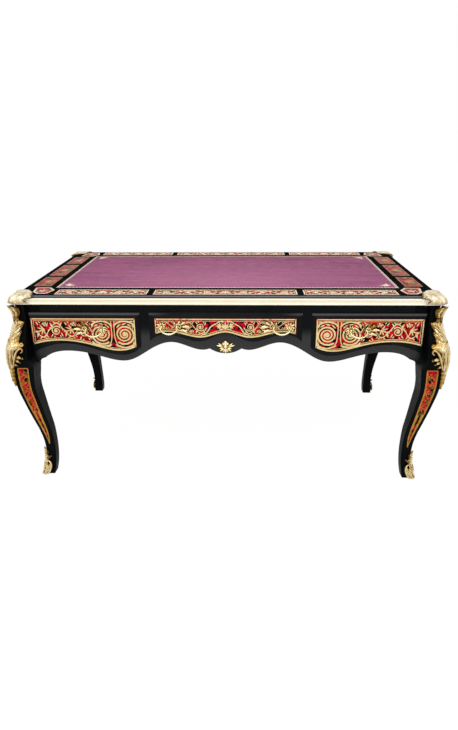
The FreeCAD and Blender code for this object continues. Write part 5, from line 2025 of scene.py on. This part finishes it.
@dataclass
class Studio:
    """Camera, light, floor and background."""

    camera_at: Triple = (0.083, -2.354, 1.361)
    pitch: float = 18.36
    yaw: float = -1.95
    roll: float = 0.44
    focal: float = 529.7
    centre: Pair = (229.4, 316.1)
    picture: tuple[int, int] = (458, 730)
    sensor: float = 36.0
    floor_size: float = 60.0
    floor_tone: float = 0.92
    floor_glow: float = 1.04
    floor_share: float = 0.93
    ambient: float = 0.50
    sun: float = 0.7
    sun_spread: float = 50.0
    sun_turn: Pair = (38.0, -14.0)
    box: float = 13.0
    strip: float = 20.0

    def build(self) -> None:
        """Make the studio."""
        scene = bpy.context.scene
        scene.view_settings.view_transform = "Standard"
        self.camera()
        self.floor()
        self.world()
        self.lamps()

    def camera(self) -> None:
        """The camera at the photograph's place."""
        pitch, yaw, roll = (math.radians(a) for a in (self.pitch, self.yaw, self.roll))
        ahead = Vector((math.sin(yaw) * math.cos(pitch), math.cos(yaw) * math.cos(pitch), -math.sin(pitch)))
        right = Vector((math.cos(yaw), -math.sin(yaw), 0))
        down = ahead.cross(right)
        across = right * math.cos(roll) + down * math.sin(roll)
        under = down * math.cos(roll) - right * math.sin(roll)
        data = bpy.data.cameras.new("camera")
        data.sensor_width = self.sensor
        data.sensor_height = self.sensor
        data.sensor_fit = "VERTICAL"
        wide, high = self.picture
        data.lens = self.focal * self.sensor / high
        data.shift_x = (wide / 2 - self.centre[0]) / high
        data.shift_y = (self.centre[1] - high / 2) / high
        camera = linked("camera", data)
        turned = Matrix((across, -under, -ahead)).transposed().to_4x4()
        camera.matrix_world = Matrix.Translation(self.camera_at) @ turned
        bpy.context.scene.camera = camera

    def bright(self, nodes: Tree) -> Socket:
        """A value of one for rays that show the background."""
        path = nodes.add("ShaderNodeLightPath")
        seen = nodes.maths("MAXIMUM", path.outputs["Is Camera Ray"], path.outputs["Is Glossy Ray"])
        return nodes.maths("MAXIMUM", seen, path.outputs["Is Transmission Ray"])

    def floor(self) -> None:
        """A pale floor that keeps a soft shadow."""
        bpy.ops.object.select_all(action="DESELECT")
        bpy.ops.mesh.primitive_plane_add(size=self.floor_size, location=NOWHERE)
        floor = bpy.context.active_object
        floor.name = "studio_floor"
        material = bpy.data.materials.new("studio_floor")
        material.use_nodes = True
        nodes = Tree(material.node_tree)
        nodes.tree.nodes.clear()
        tone = self.floor_tone
        matt = nodes.add("ShaderNodeBsdfDiffuse", {"Color": (tone, tone, tone, 1)})
        glow = nodes.add("ShaderNodeEmission", {"Color": WHITE, "Strength": self.floor_glow})
        share = nodes.maths("MULTIPLY", self.bright(nodes), self.floor_share)
        mixed = nodes.add("ShaderNodeMixShader", {0: share, 1: matt.outputs[0], 2: glow.outputs[0]})
        nodes.add("ShaderNodeOutputMaterial", {"Surface": mixed.outputs[0]})
        floor.data.materials.append(material)

    def world(self) -> None:
        """White behind the object, and a plain soft light from all round."""
        world = bpy.data.worlds.new("studio_world")
        bpy.context.scene.world = world
        world.use_nodes = True
        nodes = Tree(world.node_tree)
        nodes.tree.nodes.clear()
        seen = nodes.maths("MULTIPLY", self.bright(nodes), 1.0 - self.ambient)
        level = nodes.maths("ADD", seen, self.ambient)
        back = nodes.add("ShaderNodeBackground", {"Color": WHITE, "Strength": level})
        nodes.add("ShaderNodeOutputWorld", {"Surface": back.outputs[0]})

    def lamps(self) -> None:
        """A wide soft sun, a soft box over the front and a strip behind the camera."""
        sun = bpy.data.lights.new("soft_sun", "SUN")
        sun.energy = self.sun
        sun.angle = math.radians(self.sun_spread)
        tilt, turn = (math.radians(a) for a in self.sun_turn)
        linked("soft_sun", sun).rotation_euler = (tilt, turn, 0)
        self.soft_box("soft_box", (2.6, 0.34), (0, -1.05, 2.6), 12, self.box)
        self.soft_box("front_strip", (4.2, 0.5), (0, -3.4, 1.9), 76, self.strip)

    def soft_box(self, name: str, size: Pair, spot: Triple, tilt: float, power: float) -> None:
        """A rectangular soft lamp.

        Args:
            name: its name.
            size: its width and height in metres.
            spot: where it stands.
            tilt: how many degrees it is turned up from looking at the floor.
            power: its power in watts.
        """
        data = bpy.data.lights.new(name, "AREA")
        data.shape = "RECTANGLE"
        data.size, data.size_y = size
        data.energy = power
        lamp = linked(name, data)
        lamp.location = spot
        lamp.rotation_euler = (math.radians(tilt), 0, 0)


def main() -> None:
    """Build the table's looks and the studio."""
    logging.basicConfig(level=logging.INFO, format="%(message)s")
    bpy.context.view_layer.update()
    palette = Palette()
    low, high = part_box("brass_edge_front")
    half_width = max(abs(low.x), abs(high.x)) / MM
    half_depth = abs(low.y) / MM
    corners = [Corner(side, end, half_width, half_depth) for end in (-1, 1) for side in (-1, 1)]
    inlays = InlayWork(palette)
    Studio().build()
    TopDressing(palette, inlays, corners).build()
    LegDressing(palette, inlays, corners, LegShape.measured(corners[0])).build()
    CaseDressing(palette, inlays).build()
    DrawerDressing(palette, inlays).build()


if __name__ == "__main__":
    main()
